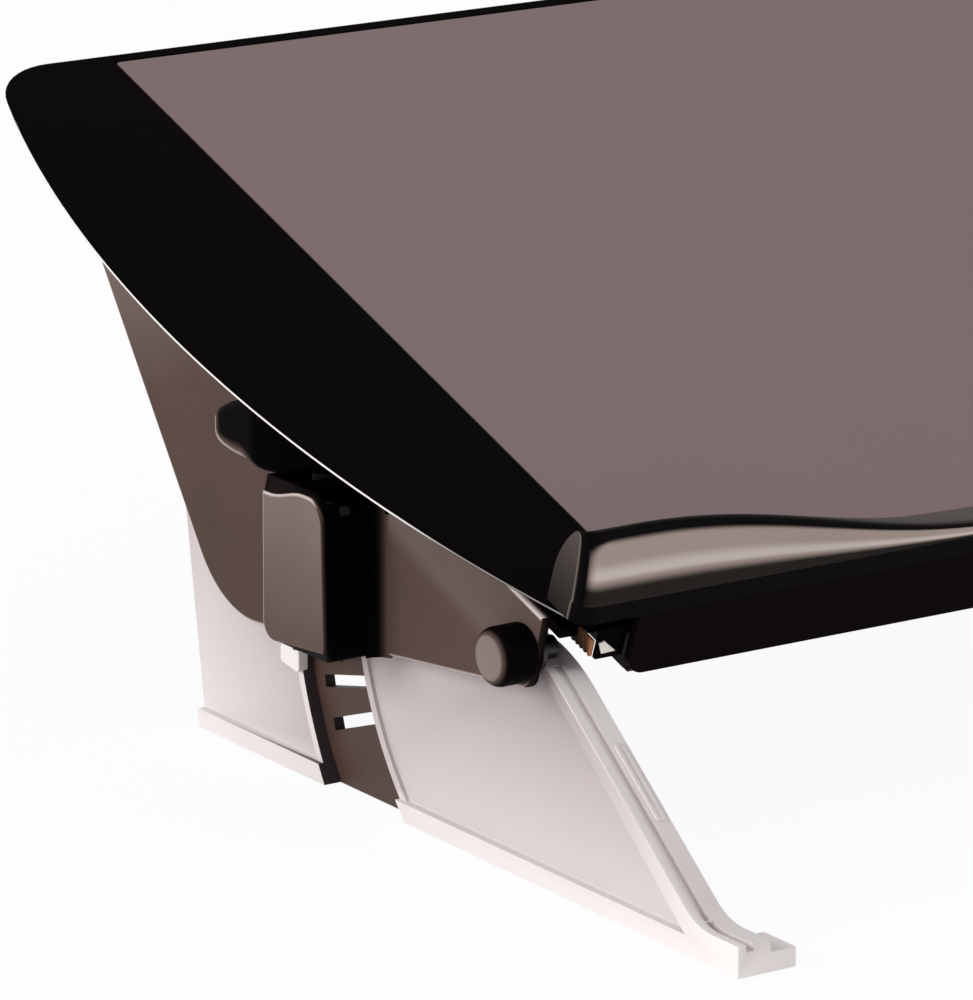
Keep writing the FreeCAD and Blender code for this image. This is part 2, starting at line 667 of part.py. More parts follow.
plate_out = panel_in
plate_in = plate_out + s.plate_thick
left_plate = new_body("left_slot_plate")
add(left_plate, "YZ_Plane", plate_out, plate_in, sector(
    pivot_on_leg, s.window_in - s.plate_lap, window_out + s.plate_lap,
    rim_top + s.fit_gap, s.window_top + s.plate_lap))
add(left_plate, "YZ_Plane", plate_out, plate_in, sector(
    pivot_on_leg, s.window_in + s.fit_gap, window_out - s.fit_gap,
    s.leg_lift, rim_top + s.fit_gap * 2))
for angle in slot_angles:
    cut(left_plate, "YZ_Plane", plate_out - 1, plate_in + 1,
        outline(rectangle(-s.slot_length / 2, s.slot_length / 2,
                          -s.slot_height / 2, s.slot_height / 2)),
        at=from_pivot(slot_middle, angle), turn=s.slot_slant - angle)
plate_screw_places = [
    from_pivot(radius, angle)
    for radius in (s.window_in - s.plate_lap / 2, window_out + s.plate_lap / 2)
    for angle in (s.slot_first - s.slot_step / 2, s.slot_first + s.slot_step * 2)]
cut(left_plate, "YZ_Plane", plate_out - 1, plate_in + 1,
    circles(plate_screw_places, s.screw_shank + s.run_gap))
on_desk(left_plate)
keep(left_plate, mirrored(left_plate, "right_slot_plate"))

plate_screws = []
for back, up in plate_screw_places:
    one = screw((plate_in, back, up), (-1, 0, 0), s.plate_thick)
    plate_screws.extend(both_sides(moved(one, desk_shift)))
keep(group_of_solids("slot_plate_screws", plate_screws))

# ---------------------------------------------------------------- side covers

cover_out = -cover_outer
cover_in = cover_out + s.cover_wall
shelf_low = cover_top - s.shelf_thick
lever_place = (lever_back, -s.lever_drop)

cover_plate = new_body("left_cover_plate")
cover_corners = [(-s.cover_front, cover_top), (-s.cover_front, -s.cover_nose),
                 (s.cover_low_back, -s.cover_low), (cover_rear, cover_top)]
add(cover_plate, "YZ_Plane", cover_out, cover_in, outline(cover_corners))
round_edges(cover_plate, "YZ_Plane", [cover_corners[2]], s.cover_round)
round_edges(cover_plate, "YZ_Plane", cover_corners[:2], s.nose_round)
add(cover_plate, "XY_Plane", shelf_low, cover_top, outline(rectangle(
    cover_in - s.cover_wall / 2, s.shelf_lap - channel_outer, -rail_front,
    cover_rear - s.nose_round)))
lever_frame = {"at": lever_place, "turn": -s.lever_lean}
# the fairing's top follows the underside of the deck, seen from the upright lever
fairing_rise = cover_top + s.lever_drop
slant = sine(s.lever_lean) / cosine(s.lever_lean)


def under_deck(back):
    return fairing_rise / cosine(s.lever_lean) + slant * back


fairing_low = s.lever_above + s.fairing_gap
fairing_start = -s.lever_ahead - s.fairing_front_wall
fairing_side = [
    (fairing_start, fairing_low), (s.nose_back_low, fairing_low),
    (s.fairing_nose, fairing_low + s.nose_height),
    (s.fairing_nose - s.nose_back_low / 10, fairing_low + s.nose_top),
    (s.fairing_end, under_deck(s.fairing_end)), (fairing_start, under_deck(fairing_start))]
add(cover_plate, "YZ_Plane", -fairing_outer, cover_in, outline(fairing_side), **lever_frame)
# seen from above, the fairing's outer side falls in towards the front: each pair is a share
# of the way from the front end back to the nose, and a share of the fall still left there
fairing_front = cover_out - s.fairing_front_lift
fairing_depth = s.fairing_reach - s.fairing_front_lift
fairing_fall = [(0.0, 1.0), (0.35, 0.72), (0.7, 0.36), (0.9, 0.12), (1.0, 0.0)]
fairing_span = s.lever_ahead + s.fairing_nose
cut(cover_plate, "XY_Plane", -cover_outer, cover_outer, outline(
    [(fairing_front - fairing_depth * (1 - left_over),
      s.fairing_nose * share - s.lever_ahead * (1 - share)) for share, left_over in fairing_fall]
    + [(-fairing_outer - 1, s.fairing_nose), (-fairing_outer - 1, -fairing_span),
       (fairing_front, -fairing_span)]),
    at=(0, lever_back))
add(cover_plate, "YZ_Plane", fairing_front, cover_in, outline(rectangle(
    fairing_start - s.fit_gap, -s.lever_ahead - s.fit_gap,
    -s.lever_below, fairing_low + s.cover_wall / 2)), **lever_frame)
# window for the catch's strap, open at the bottom and hidden behind the lever
strap_back = s.strap_front + s.strap_width
strap_play = s.fit_gap * 3
cut(cover_plate, "YZ_Plane", cover_out - 1, cover_in + 1, outline(rectangle(
    s.strap_front - strap_play, strap_back + strap_play,
    -s.cover_low, -s.strap_top + strap_play)), **lever_frame)
cut(cover_plate, "YZ_Plane", cover_out - 1, cover_in + 1,
    circles([(0, 0)], s.pin_radius + s.run_gap))

# the lug that holds the lever pin, drawn in the lever's own frame
cover_lug = new_body("left_cover_lug")
axis_x = -lever_axis
lug_middle = (s.lever_behind - s.lever_ahead) / 2
lug_low = lug_middle - s.lug_half
lug_high = lug_middle + s.lug_half
lug_root = cover_out + s.cover_wall / 2
add(cover_lug, "XZ_Plane", lug_low, lug_high, circles([(axis_x, 0)], s.lug_radius))
add(cover_lug, "XZ_Plane", lug_low, lug_high, outline([
    (lug_root, -s.strap_top + strap_play * 2), (axis_x, -s.lug_radius), (axis_x, s.lug_radius),
    (lug_root, s.lug_radius)]))
cut(cover_lug, "XZ_Plane", lug_low - 1, lug_high + 1,
    circles([(axis_x, 0)], s.lever_pin + s.run_gap))
cover_lug.Placement = FreeCAD.Placement(
    FreeCAD.Vector(0, 0, 0), FreeCAD.Rotation(FreeCAD.Vector(1, 0, 0), number(-s.lever_lean)))
bind(cover_lug, "Placement.Base.y", lever_back)
bind(cover_lug, "Placement.Base.z", -s.lever_drop)
bind(cover_lug, "Placement.Rotation.Angle", -s.lever_lean)

left_cover = doc.addObject("Part::Fuse", "left_side_cover")
left_cover.Base = cover_plate
left_cover.Tool = cover_lug
left_cover.Refine = True
left_cover.Label = "left_side_cover"
on_slope(left_cover)
keep(left_cover, mirrored(left_cover, "right_side_cover"))

# ---------------------------------------------------------------- rails

flange_out = -rail_outer
channel_out = -channel_outer
channel_in = channel_out + s.channel_width
channel_middle = channel_out + s.channel_width / 2
rail_top = shelf_low
rail_bottom = rail_top - s.rail_height
flange_low = rail_top - s.rail_wall
slot_out = channel_middle - s.rail_slot / 2
slot_in = channel_middle + s.rail_slot / 2

left_rail = new_body("left_rail")
add(left_rail, "XZ_Plane", -rail_front, rail_rear, outline([
    (flange_out, flange_low), (channel_out, flange_low), (channel_out, rail_bottom),
    (channel_in, rail_bottom), (channel_in, rail_top), (slot_in, rail_top),
    (slot_in, flange_low), (channel_in - s.rail_wall, flange_low),
    (channel_in - s.rail_wall, rail_bottom + s.rail_wall),
    (channel_out + s.rail_wall, rail_bottom + s.rail_wall),
    (channel_out + s.rail_wall, flange_low), (slot_out, flange_low),
    (slot_out, rail_top), (flange_out, rail_top)]))
screw_line = (flange_out + channel_out) / 2
rail_screw_places = [(screw_line, s.tube_front + (tube_rear - s.tube_front) * share)
                     for share in (0.3, 0.6, 0.9)]
cut(left_rail, "XY_Plane", flange_low - 1, rail_top + 1,
    circles(rail_screw_places, s.screw_shank + s.run_gap))
on_slope(left_rail)
keep(left_rail, mirrored(left_rail, "right_rail"))


def on_slope_both(shapes):
    return [twin for shape in shapes for twin in both_sides(moved(shape, slope_placement()))]


keep(group_of_solids("rail_screws", on_slope_both(
    [screw((x, back, flange_low), (0, 0, 1), s.rail_wall) for x, back in rail_screw_places])))


def cut_grooves(block, low, face, width, height):
    """Level grooves across a block, up from its corner low, in from the place of its face."""
    rib = number(s.cap_rib)
    count = int(height / (rib * 2))
    for index in range(count):
        block = block.cut(Part.makeBox(width, rib, rib, low + FreeCAD.Vector(
            0, face, (height - rib) * (index + 0.5) / count)))
    return block


def rail_cap(name, rail_end, direction):
    """The plugs in one end of both rails; direction is the way their ribbed plates face."""
    width, height, thick = map(number, (s.channel_width, s.rail_height, s.cap_thick))
    plug, inset = number(s.cap_plug), number(s.rail_wall + s.fit_gap)
    low = FreeCAD.Vector(number(channel_out), 0, number(rail_bottom))
    cap = Part.makeBox(width, thick, height, low)
    cap = cap.fuse(Part.makeBox(width - inset * 2, plug, height - inset * 2,
                                low + FreeCAD.Vector(inset, -plug, inset)))
    cap = cut_grooves(cap, low, thick - number(s.cap_rib), width, height)
    if direction < 0:
        cap = cap.mirror(FreeCAD.Vector(0, 0, 0), FreeCAD.Vector(0, 1, 0))
    cap.translate(FreeCAD.Vector(0, number(rail_end), 0))
    return group_of_solids(name, on_slope_both([cap]))


def cover_stops():
    """Ribbed stops under the front ends of the covers' shelves."""
    width, length, height = map(number, (s.stop_width, s.stop_length, s.stop_height))
    low = FreeCAD.Vector(number(cover_in + s.stop_inset), -number(rail_front),
                         number(shelf_low - s.stop_height))
    stop = cut_grooves(Part.makeBox(width, length, height, low), low, 0, width, height)
    return group_of_solids("cover_stops", on_slope_both([stop]))


keep(rail_cap("front_rail_caps", -rail_front, -1), rail_cap("rear_rail_caps", rail_rear, 1),
     cover_stops())

# ---------------------------------------------------------------- cross tubes

for name, back in (("front_cross_tube", s.tube_front), ("rear_cross_tube", tube_rear)):
    tube = doc.addObject("Part::Cut", name)
    tube.Base = new_cylinder(name + "_outside", s.tube_radius, channel_in, -channel_in,
                             back, s.tube_rise)
    tube.Tool = new_cylinder(name + "_inside", s.tube_radius - s.tube_wall, channel_in,
                             -channel_in, back, s.tube_rise)
    tube.Label = name
    on_slope(tube)
    keep(tube)

# ---------------------------------------------------------------- pivots

left_pin = new_body("left_pivot_pin")
add(left_pin, "YZ_Plane", cover_out - s.pin_end, panel_in - s.fit_gap,
    circles([(0, 0)], s.pin_radius))
on_slope(left_pin)
keep(left_pin, mirrored(left_pin, "right_pivot_pin"))

left_knob = new_body("left_pivot_knob")
knob_end = cover_out - s.knob_length
add(left_knob, "YZ_Plane", knob_end, cover_out, circles([(0, 0)], s.knob_radius))
knob_rims = [f"Edge{index}" for index, edge in enumerate(left_knob.Shape.Edges, start=1)
             if isinstance(edge.Curve, Part.Circle)
             and abs(edge.Curve.Center.x - number(knob_end)) < 0.01]
knob_pad = left_knob.Tip
knob_fillet = left_knob.newObject("PartDesign::Fillet", "Fillet")
knob_fillet.Base = (knob_pad, knob_rims)
bind(knob_fillet, "Radius", s.knob_round)
left_knob.Tip = knob_fillet
doc.recompute()
cut(left_knob, "YZ_Plane", cover_out - s.pin_end - s.run_gap, cover_out,
    circles([(0, 0)], s.pin_radius + s.run_gap))
on_slope(left_knob)
keep(left_knob, mirrored(left_knob, "right_pivot_knob"))


def washer(low, high):
    """A ring around the pivot between two places across the leg."""
    start = FreeCAD.Vector(number(low), 0, 0)
    axis = FreeCAD.Vector(1, 0, 0)
    thick = number(as_size(high) - low)
    ring = Part.makeCylinder(number(s.washer_radius), thick, start, axis)
    return ring.cut(Part.makeCylinder(number(s.pin_radius + s.run_gap), thick, start, axis))


keep(group_of_solids("pivot_washers", on_slope_both([
    washer(cover_in, -s.leg_outer - s.fit_gap)])))

# ---------------------------------------------------------------- release levers

lever_out = -lever_outer
lever_in = -lever_inner
strap_out = cover_out - s.strap_thick + s.run_gap * 4
strap_in = strap_out + s.strap_thick
strap_middle = s.strap_front + s.strap_width / 2
lever_hollow_end = lever_out + s.lever_wall

left_lever = new_body("left_release_lever")
lever_corners = rectangle(-s.lever_ahead, s.lever_behind, -s.lever_below, s.lever_above)
add(left_lever, "YZ_Plane", lever_out, lever_in, outline(lever_corners))
for corner, radius in ((3, s.lever_round_top), (1, s.lever_round_rear), (0, s.lever_round_front)):
    round_edges(left_lever, "YZ_Plane", [lever_corners[corner]], radius)
cut(left_lever, "YZ_Plane", lever_hollow_end, lever_in + 1, outline(rectangle(
    -s.lever_ahead + s.lever_wall, s.lever_behind - s.lever_wall,
    -s.lever_below + s.lever_wall, s.lever_above + 1)))
boss_places = [(strap_middle, -s.strap_top - s.screw_head * 2),
               (strap_middle, -s.lever_below + s.screw_head * 2)]
add(left_lever, "YZ_Plane", lever_hollow_end - s.lever_wall / 2, strap_out,
    circles(boss_places, s.screw_head))
cut(left_lever, "XZ_Plane", -s.lever_ahead + s.pin_inset - s.fit_gap, s.lever_behind + 1,
    circles([(axis_x, 0)], s.lever_pin + s.run_gap))
on_lever(left_lever)
keep(left_lever, mirrored(left_lever, "right_release_lever"))

left_lever_pin = new_body("left_lever_pin")
add(left_lever_pin, "XZ_Plane", -s.lever_ahead + s.pin_inset, s.lever_behind - s.fit_gap,
    circles([(axis_x, 0)], s.lever_pin))
on_lever(left_lever_pin)
keep(left_lever_pin, mirrored(left_lever_pin, "right_lever_pin"))


def lever_placement():
    return FreeCAD.Placement(
        FreeCAD.Vector(0, number(lever_y - toe_to_middle), number(lever_z)),
        FreeCAD.Rotation(FreeCAD.Vector(1, 0, 0), number(lever_turn)))


def torsion_spring():
    """A wire coil around the lever pin, behind the lug, with two straight legs downwards."""
    radius, wire = number(s.spring_radius), number(s.spring_wire) / 2
    pitch, leg = number(s.spring_pitch), number(s.spring_leg)
    half_turns = round(number(s.spring_turns) * 2)
    # the coil is wound from half turns, each a tilted arc that rises by half the pitch
    ends = [FreeCAD.Vector(radius * (-1) ** index, 0, pitch * index / 2)
            for index in range(half_turns + 1)]
    tops = [FreeCAD.Vector(0, radius * (-1) ** index, pitch * (index + 0.5) / 2)
            for index in range(half_turns)]
    down = FreeCAD.Vector(0, -leg, 0)
    path = [Part.LineSegment(ends[0] + down, ends[0])]
    path += [Part.Arc(start, top, end) for start, top, end in zip(ends, tops, ends[1:])]
    path += [Part.LineSegment(ends[-1], ends[-1] + down)]
    section = Part.Wire([Part.makeCircle(wire, ends[0] + down, FreeCAD.Vector(0, 1, 0))])
    coil_spring = Part.Wire([piece.toShape() for piece in path]).makePipeShell(
        [section], True, False)
    # laid down: the coil's axis now runs along the pin and its legs hang down
    coil_spring.rotate(FreeCAD.Vector(0, 0, 0), FreeCAD.Vector(1, 0, 0), -90)
    coil_spring.rotate(FreeCAD.Vector(0, 0, 0), FreeCAD.Vector(0, 1, 0), 180)
    coil_spring.translate(FreeCAD.Vector(number(axis_x), number(lug_high) + wire * 2, 0))
    return moved(coil_spring, lever_placement())


spring = torsion_spring()
for name, shape in (("left_lever_spring", spring), ("right_lever_spring", both_sides(spring)[1])):
    keep(group_of_solids(name, [shape]))

# ---------------------------------------------------------------- catches

first_slot = from_pivot(slot_middle, s.slot_first)
catch_dy = first_slot[0] - lever_y
catch_dz = first_slot[1] - lever_z
catch_back = catch_dy * cosine(lever_turn) + catch_dz * sine(lever_turn)
catch_low = catch_dz * cosine(lever_turn) - catch_dy * sine(lever_turn) - s.catch_rest_drop
catch_turn = s.slot_slant - s.slot_first - lever_turn

left_catch = new_body("left_catch")
add(left_catch, "YZ_Plane", strap_out, strap_in,
    outline(rectangle(s.strap_front, strap_back, catch_low, -s.strap_top)))
add(left_catch, "YZ_Plane", strap_out, plate_out - s.fit_gap,
    outline(rectangle(-s.catch_length / 2, s.catch_length / 2,
                      -s.catch_thick / 2, s.catch_thick / 2)),
    at=(catch_back, catch_low), turn=catch_turn)
cut(left_catch, "YZ_Plane", strap_out - 1, strap_in + 1,
    circles(boss_places, s.screw_shank + s.run_gap))
on_lever(left_catch)
keep(left_catch, mirrored(left_catch, "right_catch"))

catch_screws = [moved(screw((strap_in, back, up), (-1, 0, 0), s.strap_thick), lever_placement())
                for back, up in boss_places]
right_catch_screws = [both_sides(one)[1] for one in catch_screws]
keep(group_of_solids("left_catch_screws", catch_screws),
     group_of_solids("right_catch_screws", right_catch_screws))

# ---------------------------------------------------------------- deck

def draw_deck(sketch):
    """The deck from above: straight front and rear edges, bowed sides."""
    half_front, half_rear, half_widest = s.deck_half_front, s.deck_half_rear, s.deck_half_widest
    corners = [(-half_front, -deck_front), (half_front, -deck_front),
               (half_rear, s.deck_rear), (-half_rear, s.deck_rear)]
    front = sketch.addGeometry(Part.LineSegment(vector(corners[0]), vector(corners[1])))
    rear = sketch.addGeometry(Part.LineSegment(vector(corners[2]), vector(corners[3])))
    ends = [(front, 1), (front, 2), (rear, 1), (rear, 2)]
    for (geometry, end), corner in zip(ends, corners):
        fix_point(sketch, geometry, end, corner)
    for front_end, rear_end, side in ((0, 3, -1), (1, 2, 1)):
        widest = (half_widest * side, s.deck_widest_back)
        bow = sketch.addGeometry(Part.Arc(
            vector(corners[front_end]), vector(widest), vector(corners[rear_end])))
        starts_in_front = sketch.getPoint(bow, 1).distanceToPoint(vector(corners[front_end])) < 0.01
        for corner_end, bow_end in ((front_end, 1), (rear_end, 2)):
            bow_end = bow_end if starts_in_front else 3 - bow_end
            sketch.addConstraint(Sketcher.Constraint("Coincident", bow, bow_end, *ends[corner_end]))
        mark = sketch.addGeometry(Part.Point(vector(widest)), True)
        fix_point(sketch, mark, 1, widest)
        sketch.addConstraint(Sketcher.Constraint("PointOnObject", mark, 1, bow))


deck = new_body("platform_deck")
add(deck, "XY_Plane", deck_low, s.deck_top, draw_deck)
round_edges(deck, "XY_Plane", [(-s.deck_half_rear, s.deck_rear), (s.deck_half_rear, s.deck_rear)],
            s.corner_round)
panel_rear = s.deck_rear - s.panel_margin
cut(deck, "XY_Plane", s.deck_top - s.panel_thick, s.deck_top + 1, outline(rectangle(
    -s.panel_half - s.fit_gap, s.panel_half + s.fit_gap,
    -panel_front - s.fit_gap, panel_rear + s.fit_gap)))
rib_low = deck_low - s.rib_depth
rib_front = s.apron_flange - deck_front + s.rib_wall
ribs = int(number(cross_rib_half) / number(s.rib_spacing))
for index in range(-ribs, ribs + 1):
    middle = s.rib_spacing * index
    add(deck, "XY_Plane", rib_low, deck_low + s.run_gap, outline(rectangle(
        middle - s.rib_wall / 2, middle + s.rib_wall / 2, rib_front, s.deck_rear)))
cross_ribs = 4
for index in range(cross_ribs):
    front = rib_front + (s.deck_rear - s.rib_wall - rib_front) * index / (cross_ribs - 1)
    add(deck, "XY_Plane", rib_low, deck_low + s.run_gap, outline(rectangle(
        -cross_rib_half, cross_rib_half, front, front + s.rib_wall)))
on_slope(deck)
keep(deck)

panel = new_body("centre_panel")
add(panel, "XY_Plane", s.deck_top - s.panel_thick, s.deck_top,
    outline(rectangle(-s.panel_half, s.panel_half, -panel_front, panel_rear)))
on_slope(panel)
keep(panel)

# ---------------------------------------------------------------- front lip

def wave(x):
    """0 in the middle of the lip, 1 at its ends, with a smooth fall between."""
    start, end = number(s.lip_half - s.lip_end_run), number(s.lip_wave_end)
    part = min(1.0, max(0.0, (abs(x) - end) / (start - end)))
    return 0.5 - 0.5 * math.cos(math.pi * part)


def blend(x, middle, end):
    return number(middle) + (number(end) - number(middle)) * wave(x)


def lip_section(x, inset=0.0):
    """The lip cut across at x, drawn in the slope frame; inset draws it smaller all round."""
    base = number(s.deck_top)
    rear = -number(s.lip_rear) - inset
    front = -number(s.lip_front) + inset
    band = front + number(s.lip_step)
    seam = base + number(s.lip_seam)
    back = base + blend(x, s.lip_back_middle, s.lip_back_end) - inset
    crest = base + blend(x, s.lip_crest_middle, s.lip_crest_end) - inset
    crest_back = front + blend(x, s.lip_lean_middle, s.lip_lean_end)
    # the top runs level to the crest in the middle and rises steeply at the ends
    pull = (rear + crest_back) / 2 + number(s.lip_swell) * wave(x)
    pull_up = crest - (crest - back) * wave(x) * 0.4

    def at(back_at, up_at):
        return FreeCAD.Vector(x, back_at, up_at)

    top = Part.BezierCurve()
    top.setPoles([at(rear, back), at(pull, pull_up), at(crest_back, crest)])
    face = Part.BezierCurve()
    face.setPoles([at(crest_back, crest),
                   at(front + 0.3 * (crest_back - front), crest - 0.3 * (crest - seam)),
                   at(front, seam)])
    corners = [at(front, seam), at(band, seam - number(s.lip_step)), at(band, base),
               at(rear, base), at(rear, back)]
    edges = [top.toShape(), face.toShape()]
    edges += [Part.LineSegment(a, b).toShape() for a, b in zip(corners, corners[1:])]
    return Part.Wire(edges)


lip_straight = number(s.lip_half - s.lip_end_round)
wave_steps = 6
wave_length = number(s.lip_half - s.lip_end_run - s.lip_wave_end)
stations = [number(s.lip_wave_end) + wave_length * step / wave_steps
            for step in range(wave_steps + 1)] + [lip_straight]
stations = [-x for x in reversed(stations)] + stations
lip_shape = Part.makeLoft([lip_section(x) for x in stations], True, False)
for side in (-1, 1):
    end = Part.makeLoft([lip_section(side * lip_straight),
                         lip_section(side * number(s.lip_half - s.lip_end_round * 0.3),
                                     number(s.lip_end_round) * 0.3),
                         lip_section(side * number(s.lip_half),
                                     number(s.lip_end_round) * 0.8)], True, True)
    lip_shape = lip_shape.fuse(end)
lip = doc.addObject("Part::Feature", "front_lip")
lip.Label = "front_lip"
lip.Shape = lip_shape.removeSplitter()
on_slope(lip)
keep(lip)

# ---------------------------------------------------------------- apron

apron = new_body("front_apron")
apron_face = -apron_front
apron_half = s.lip_half - s.apron_inset
apron_back = apron_face + s.apron_wall
apron_corners = rectangle(-apron_half, apron_half, -s.apron_low, s.deck_top)
add(apron, "XZ_Plane", apron_face, apron_back, outline(apron_corners))
round_edges(apron, "XZ_Plane", apron_corners[:2], s.apron_round)
apron_flange_rear = apron_back + s.apron_flange
add(apron, "XY_Plane", deck_low - s.apron_wall, deck_low, outline(rectangle(
    -cross_rib_half, cross_rib_half, apron_back - s.run_gap, apron_flange_rear)))
apron_screw_places = [(s.rib_spacing * (index + 0.5), apron_back + s.apron_flange / 2)
                      for index in range(-ribs, ribs)]
cut(apron, "XY_Plane", deck_low - s.apron_wall - 1, deck_low + 1,
    circles(apron_screw_places, s.screw_shank + s.run_gap))
on_slope(apron)
keep(apron)
keep(group_of_solids("apron_screws", [
    moved(screw((x, back, deck_low - s.apron_wall), (0, 0, 1), s.apron_wall), slope_placement())
    for x, back in apron_screw_places]))

# ---------------------------------------------------------------- runners

runner_gap = s.fit_gap
head_half = s.channel_width / 2 - s.rail_wall - runner_gap
stem_half = s.rail_slot / 2 - runner_gap
for name, rear in (("left_rear_runner", runner_rear),
                   ("left_front_runner", runner_rear - s.runner_spacing)):
    runner = new_body(name)
    add(runner, "XZ_Plane", rear - s.runner_length, rear, outline([
        (channel_middle - head_half, rail_bottom + s.rail_wall + runner_gap),
        (channel_middle + head_half, rail_bottom + s.rail_wall + runner_gap),
        (channel_middle + head_half, flange_low - runner_gap),
        (channel_middle + stem_half, flange_low - runner_gap),
        (channel_middle + stem_half, rail_top + runner_gap),
        (channel_middle + head_half, rail_top + runner_gap),
        (channel_middle + head_half, deck_low), (channel_middle - head_half, deck_low),
        (channel_middle - head_half, rail_top + runner_gap),
        (channel_middle - stem_half, rail_top + runner_gap),
        (channel_middle - stem_half, flange_low - runner_gap),
        (channel_middle - head_half, flange_low - runner_gap)]))
    on_slope(runner)
    keep(runner, mirrored(runner, name.replace("left", "right")))

# ---------------------------------------------------------------- check and write

doc.recompute()
for thing in doc.Objects:
    if "Invalid" in thing.State or "Error" in thing.State:
        raise RuntimeError(f"{thing.Label} failed: {thing.State}")
os.makedirs("parts", exist_ok=True)
for thing in kept:
    if thing.Shape.isNull() or not thing.Shape.isValid():
        raise RuntimeError(f"{thing.Label} has no valid shape")
for thing in kept:
    thing.Shape.exportStep(f"parts/{thing.Label}.step")
    print(thing.Label, len(thing.Shape.Solids), round(thing.Shape.Volume))
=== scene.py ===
import json
import math
import bmesh
import bpy
from mathutils import Matrix, Vector
from mathutils.geometry import tessellate_polygon


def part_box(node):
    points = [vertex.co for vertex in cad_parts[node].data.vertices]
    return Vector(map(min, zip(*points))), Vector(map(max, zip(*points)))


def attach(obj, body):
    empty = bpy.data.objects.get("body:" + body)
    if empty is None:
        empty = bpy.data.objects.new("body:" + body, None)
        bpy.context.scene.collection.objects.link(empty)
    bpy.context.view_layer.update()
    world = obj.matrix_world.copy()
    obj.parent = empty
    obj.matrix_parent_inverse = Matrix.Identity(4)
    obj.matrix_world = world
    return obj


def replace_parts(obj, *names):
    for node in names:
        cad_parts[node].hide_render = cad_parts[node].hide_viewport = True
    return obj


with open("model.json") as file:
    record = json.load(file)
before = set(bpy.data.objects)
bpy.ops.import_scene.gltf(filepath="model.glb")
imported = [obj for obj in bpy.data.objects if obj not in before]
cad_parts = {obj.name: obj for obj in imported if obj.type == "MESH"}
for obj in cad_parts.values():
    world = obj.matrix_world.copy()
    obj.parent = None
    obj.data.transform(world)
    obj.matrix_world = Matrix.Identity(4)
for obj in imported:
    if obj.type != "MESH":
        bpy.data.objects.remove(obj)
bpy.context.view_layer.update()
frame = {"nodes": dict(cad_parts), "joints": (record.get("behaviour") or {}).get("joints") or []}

# The platform stands on two frosted legs. Everything is drawn in millimetres in one of three frames:
# desk (Y back from the toe of the legs), slope (Y up the slope from the pivot, Z off the deck) and
# lever (Y back and Z up from the lever's pin). Left pieces are drawn, right ones are their mirror images.

millimetres = Matrix.Scale(0.001, 4)
mirror = Matrix.Scale(-1, 4, Vector((1, 0, 0)))
joints = {joint["name"]: joint for joint in frame["joints"]}
slideAxis = Vector(joints["glide"]["axis"])  # down the slope
slopeAngle = math.atan2(-slideAxis.z, -slideAxis.y)
pivot = Vector(joints["tilt"]["pos_m"])
leverPin = Vector(joints["left_lever"]["pos_m"])
slopeFrame = Matrix.Translation(pivot) @ Matrix.Rotation(slopeAngle, 4, "X") @ millimetres
leverFrame = Matrix.Translation((0, leverPin.y, leverPin.z)) @ millimetres
deskFrame = Matrix.Translation((0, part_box("left_leg")[0].y, 0)) @ millimetres
sides = {"left": Matrix.Identity(4), "right": mirror}

# camera, floor and light
camera = {
    "place": (-1.1412, -1.4058, 0.5347),
    "turn": (74.79, 0.0, -33.76),  # degrees about X, Y, Z
    "lens": 244.8,  # mm
    "sensor": 36.0,
    "clipEnd": 50.0,  # metres
}
studio = {
    "floorSize": 12.0,  # metres
    "floorColour": "#f4f1ef",
    "skyStrength": 0.55,
    "paperShare": 0.94,  # how much of the floor's look is the white backdrop, the rest takes the shadow
    "backdrop": "#ffffff",
    "lampAim": (0, 0, 0.1),
    "lamps": {  # place and size in metres, watts
        "sideKey": ((-2.2, 0.3, 0.9), (1.6, 1.2), 34),
        "frontFill": ((0.9, -2.0, 1.3), (1.2, 0.8), 14),
    },
}


def linear(code):
    channels = [int(code[at:at + 2], 16) / 255 for at in (1, 3, 5)]
    return tuple(c / 12.92 if c <= 0.04045 else ((c + 0.055) / 1.055) ** 2.4 for c in channels) + (1.0,)


def addNode(tree, kind, settings=(), **inputs):
    # inputs are named by their sockets, with _ for a space; a socket as value makes a link, and a
    # node as value links its first output
    node = tree.nodes.new(kind)
    for name, value in dict(settings).items():
        setattr(node, name, value)
    for name, value in inputs.items():
        key = int(name[1:]) if name[0] == "n" and name[1:].isdigit() else name.replace("_", " ")
        if isinstance(value, bpy.types.Node):
            value = value.outputs[0]
        if isinstance(value, bpy.types.NodeSocket):
            tree.links.new(value, node.inputs[key])
        else:
            node.inputs[key].default_value = value
    return node


def newMaterial(name, **shader):
    material = bpy.data.materials.new(name)
    material.use_nodes = True
    tree = material.node_tree
    tree.nodes.clear()
    principled = addNode(tree, "ShaderNodeBsdfPrincipled", **shader)
    output = addNode(tree, "ShaderNodeOutputMaterial", Surface=principled)
    output.location = (300, 0)
    return material, tree, principled


def addSurface(tree, principled, roughness, spread, grain, relief, mottle):
    # fine grain as bump, slow mottling as roughness; sizes are in mm
    place = addNode(tree, "ShaderNodeTexCoord").outputs["Object"]
    fine = addNode(tree, "ShaderNodeTexNoise", Vector=place, Scale=1000 / grain, Detail=3.0)
    slow = addNode(tree, "ShaderNodeTexNoise", Vector=place, Scale=1000 / mottle, Detail=2.0).outputs["Fac"]
    rough = addNode(tree, "ShaderNodeMapRange", Value=slow, To_Min=roughness - spread,
                    To_Max=roughness + spread)
    bump = addNode(tree, "ShaderNodeBump", Height=fine.outputs["Fac"], Strength=relief,
                   Distance=grain * 0.0003)
    tree.links.new(rough.outputs[0], principled.inputs["Roughness"])
    tree.links.new(bump.outputs[0], principled.inputs["Normal"])
    return slow


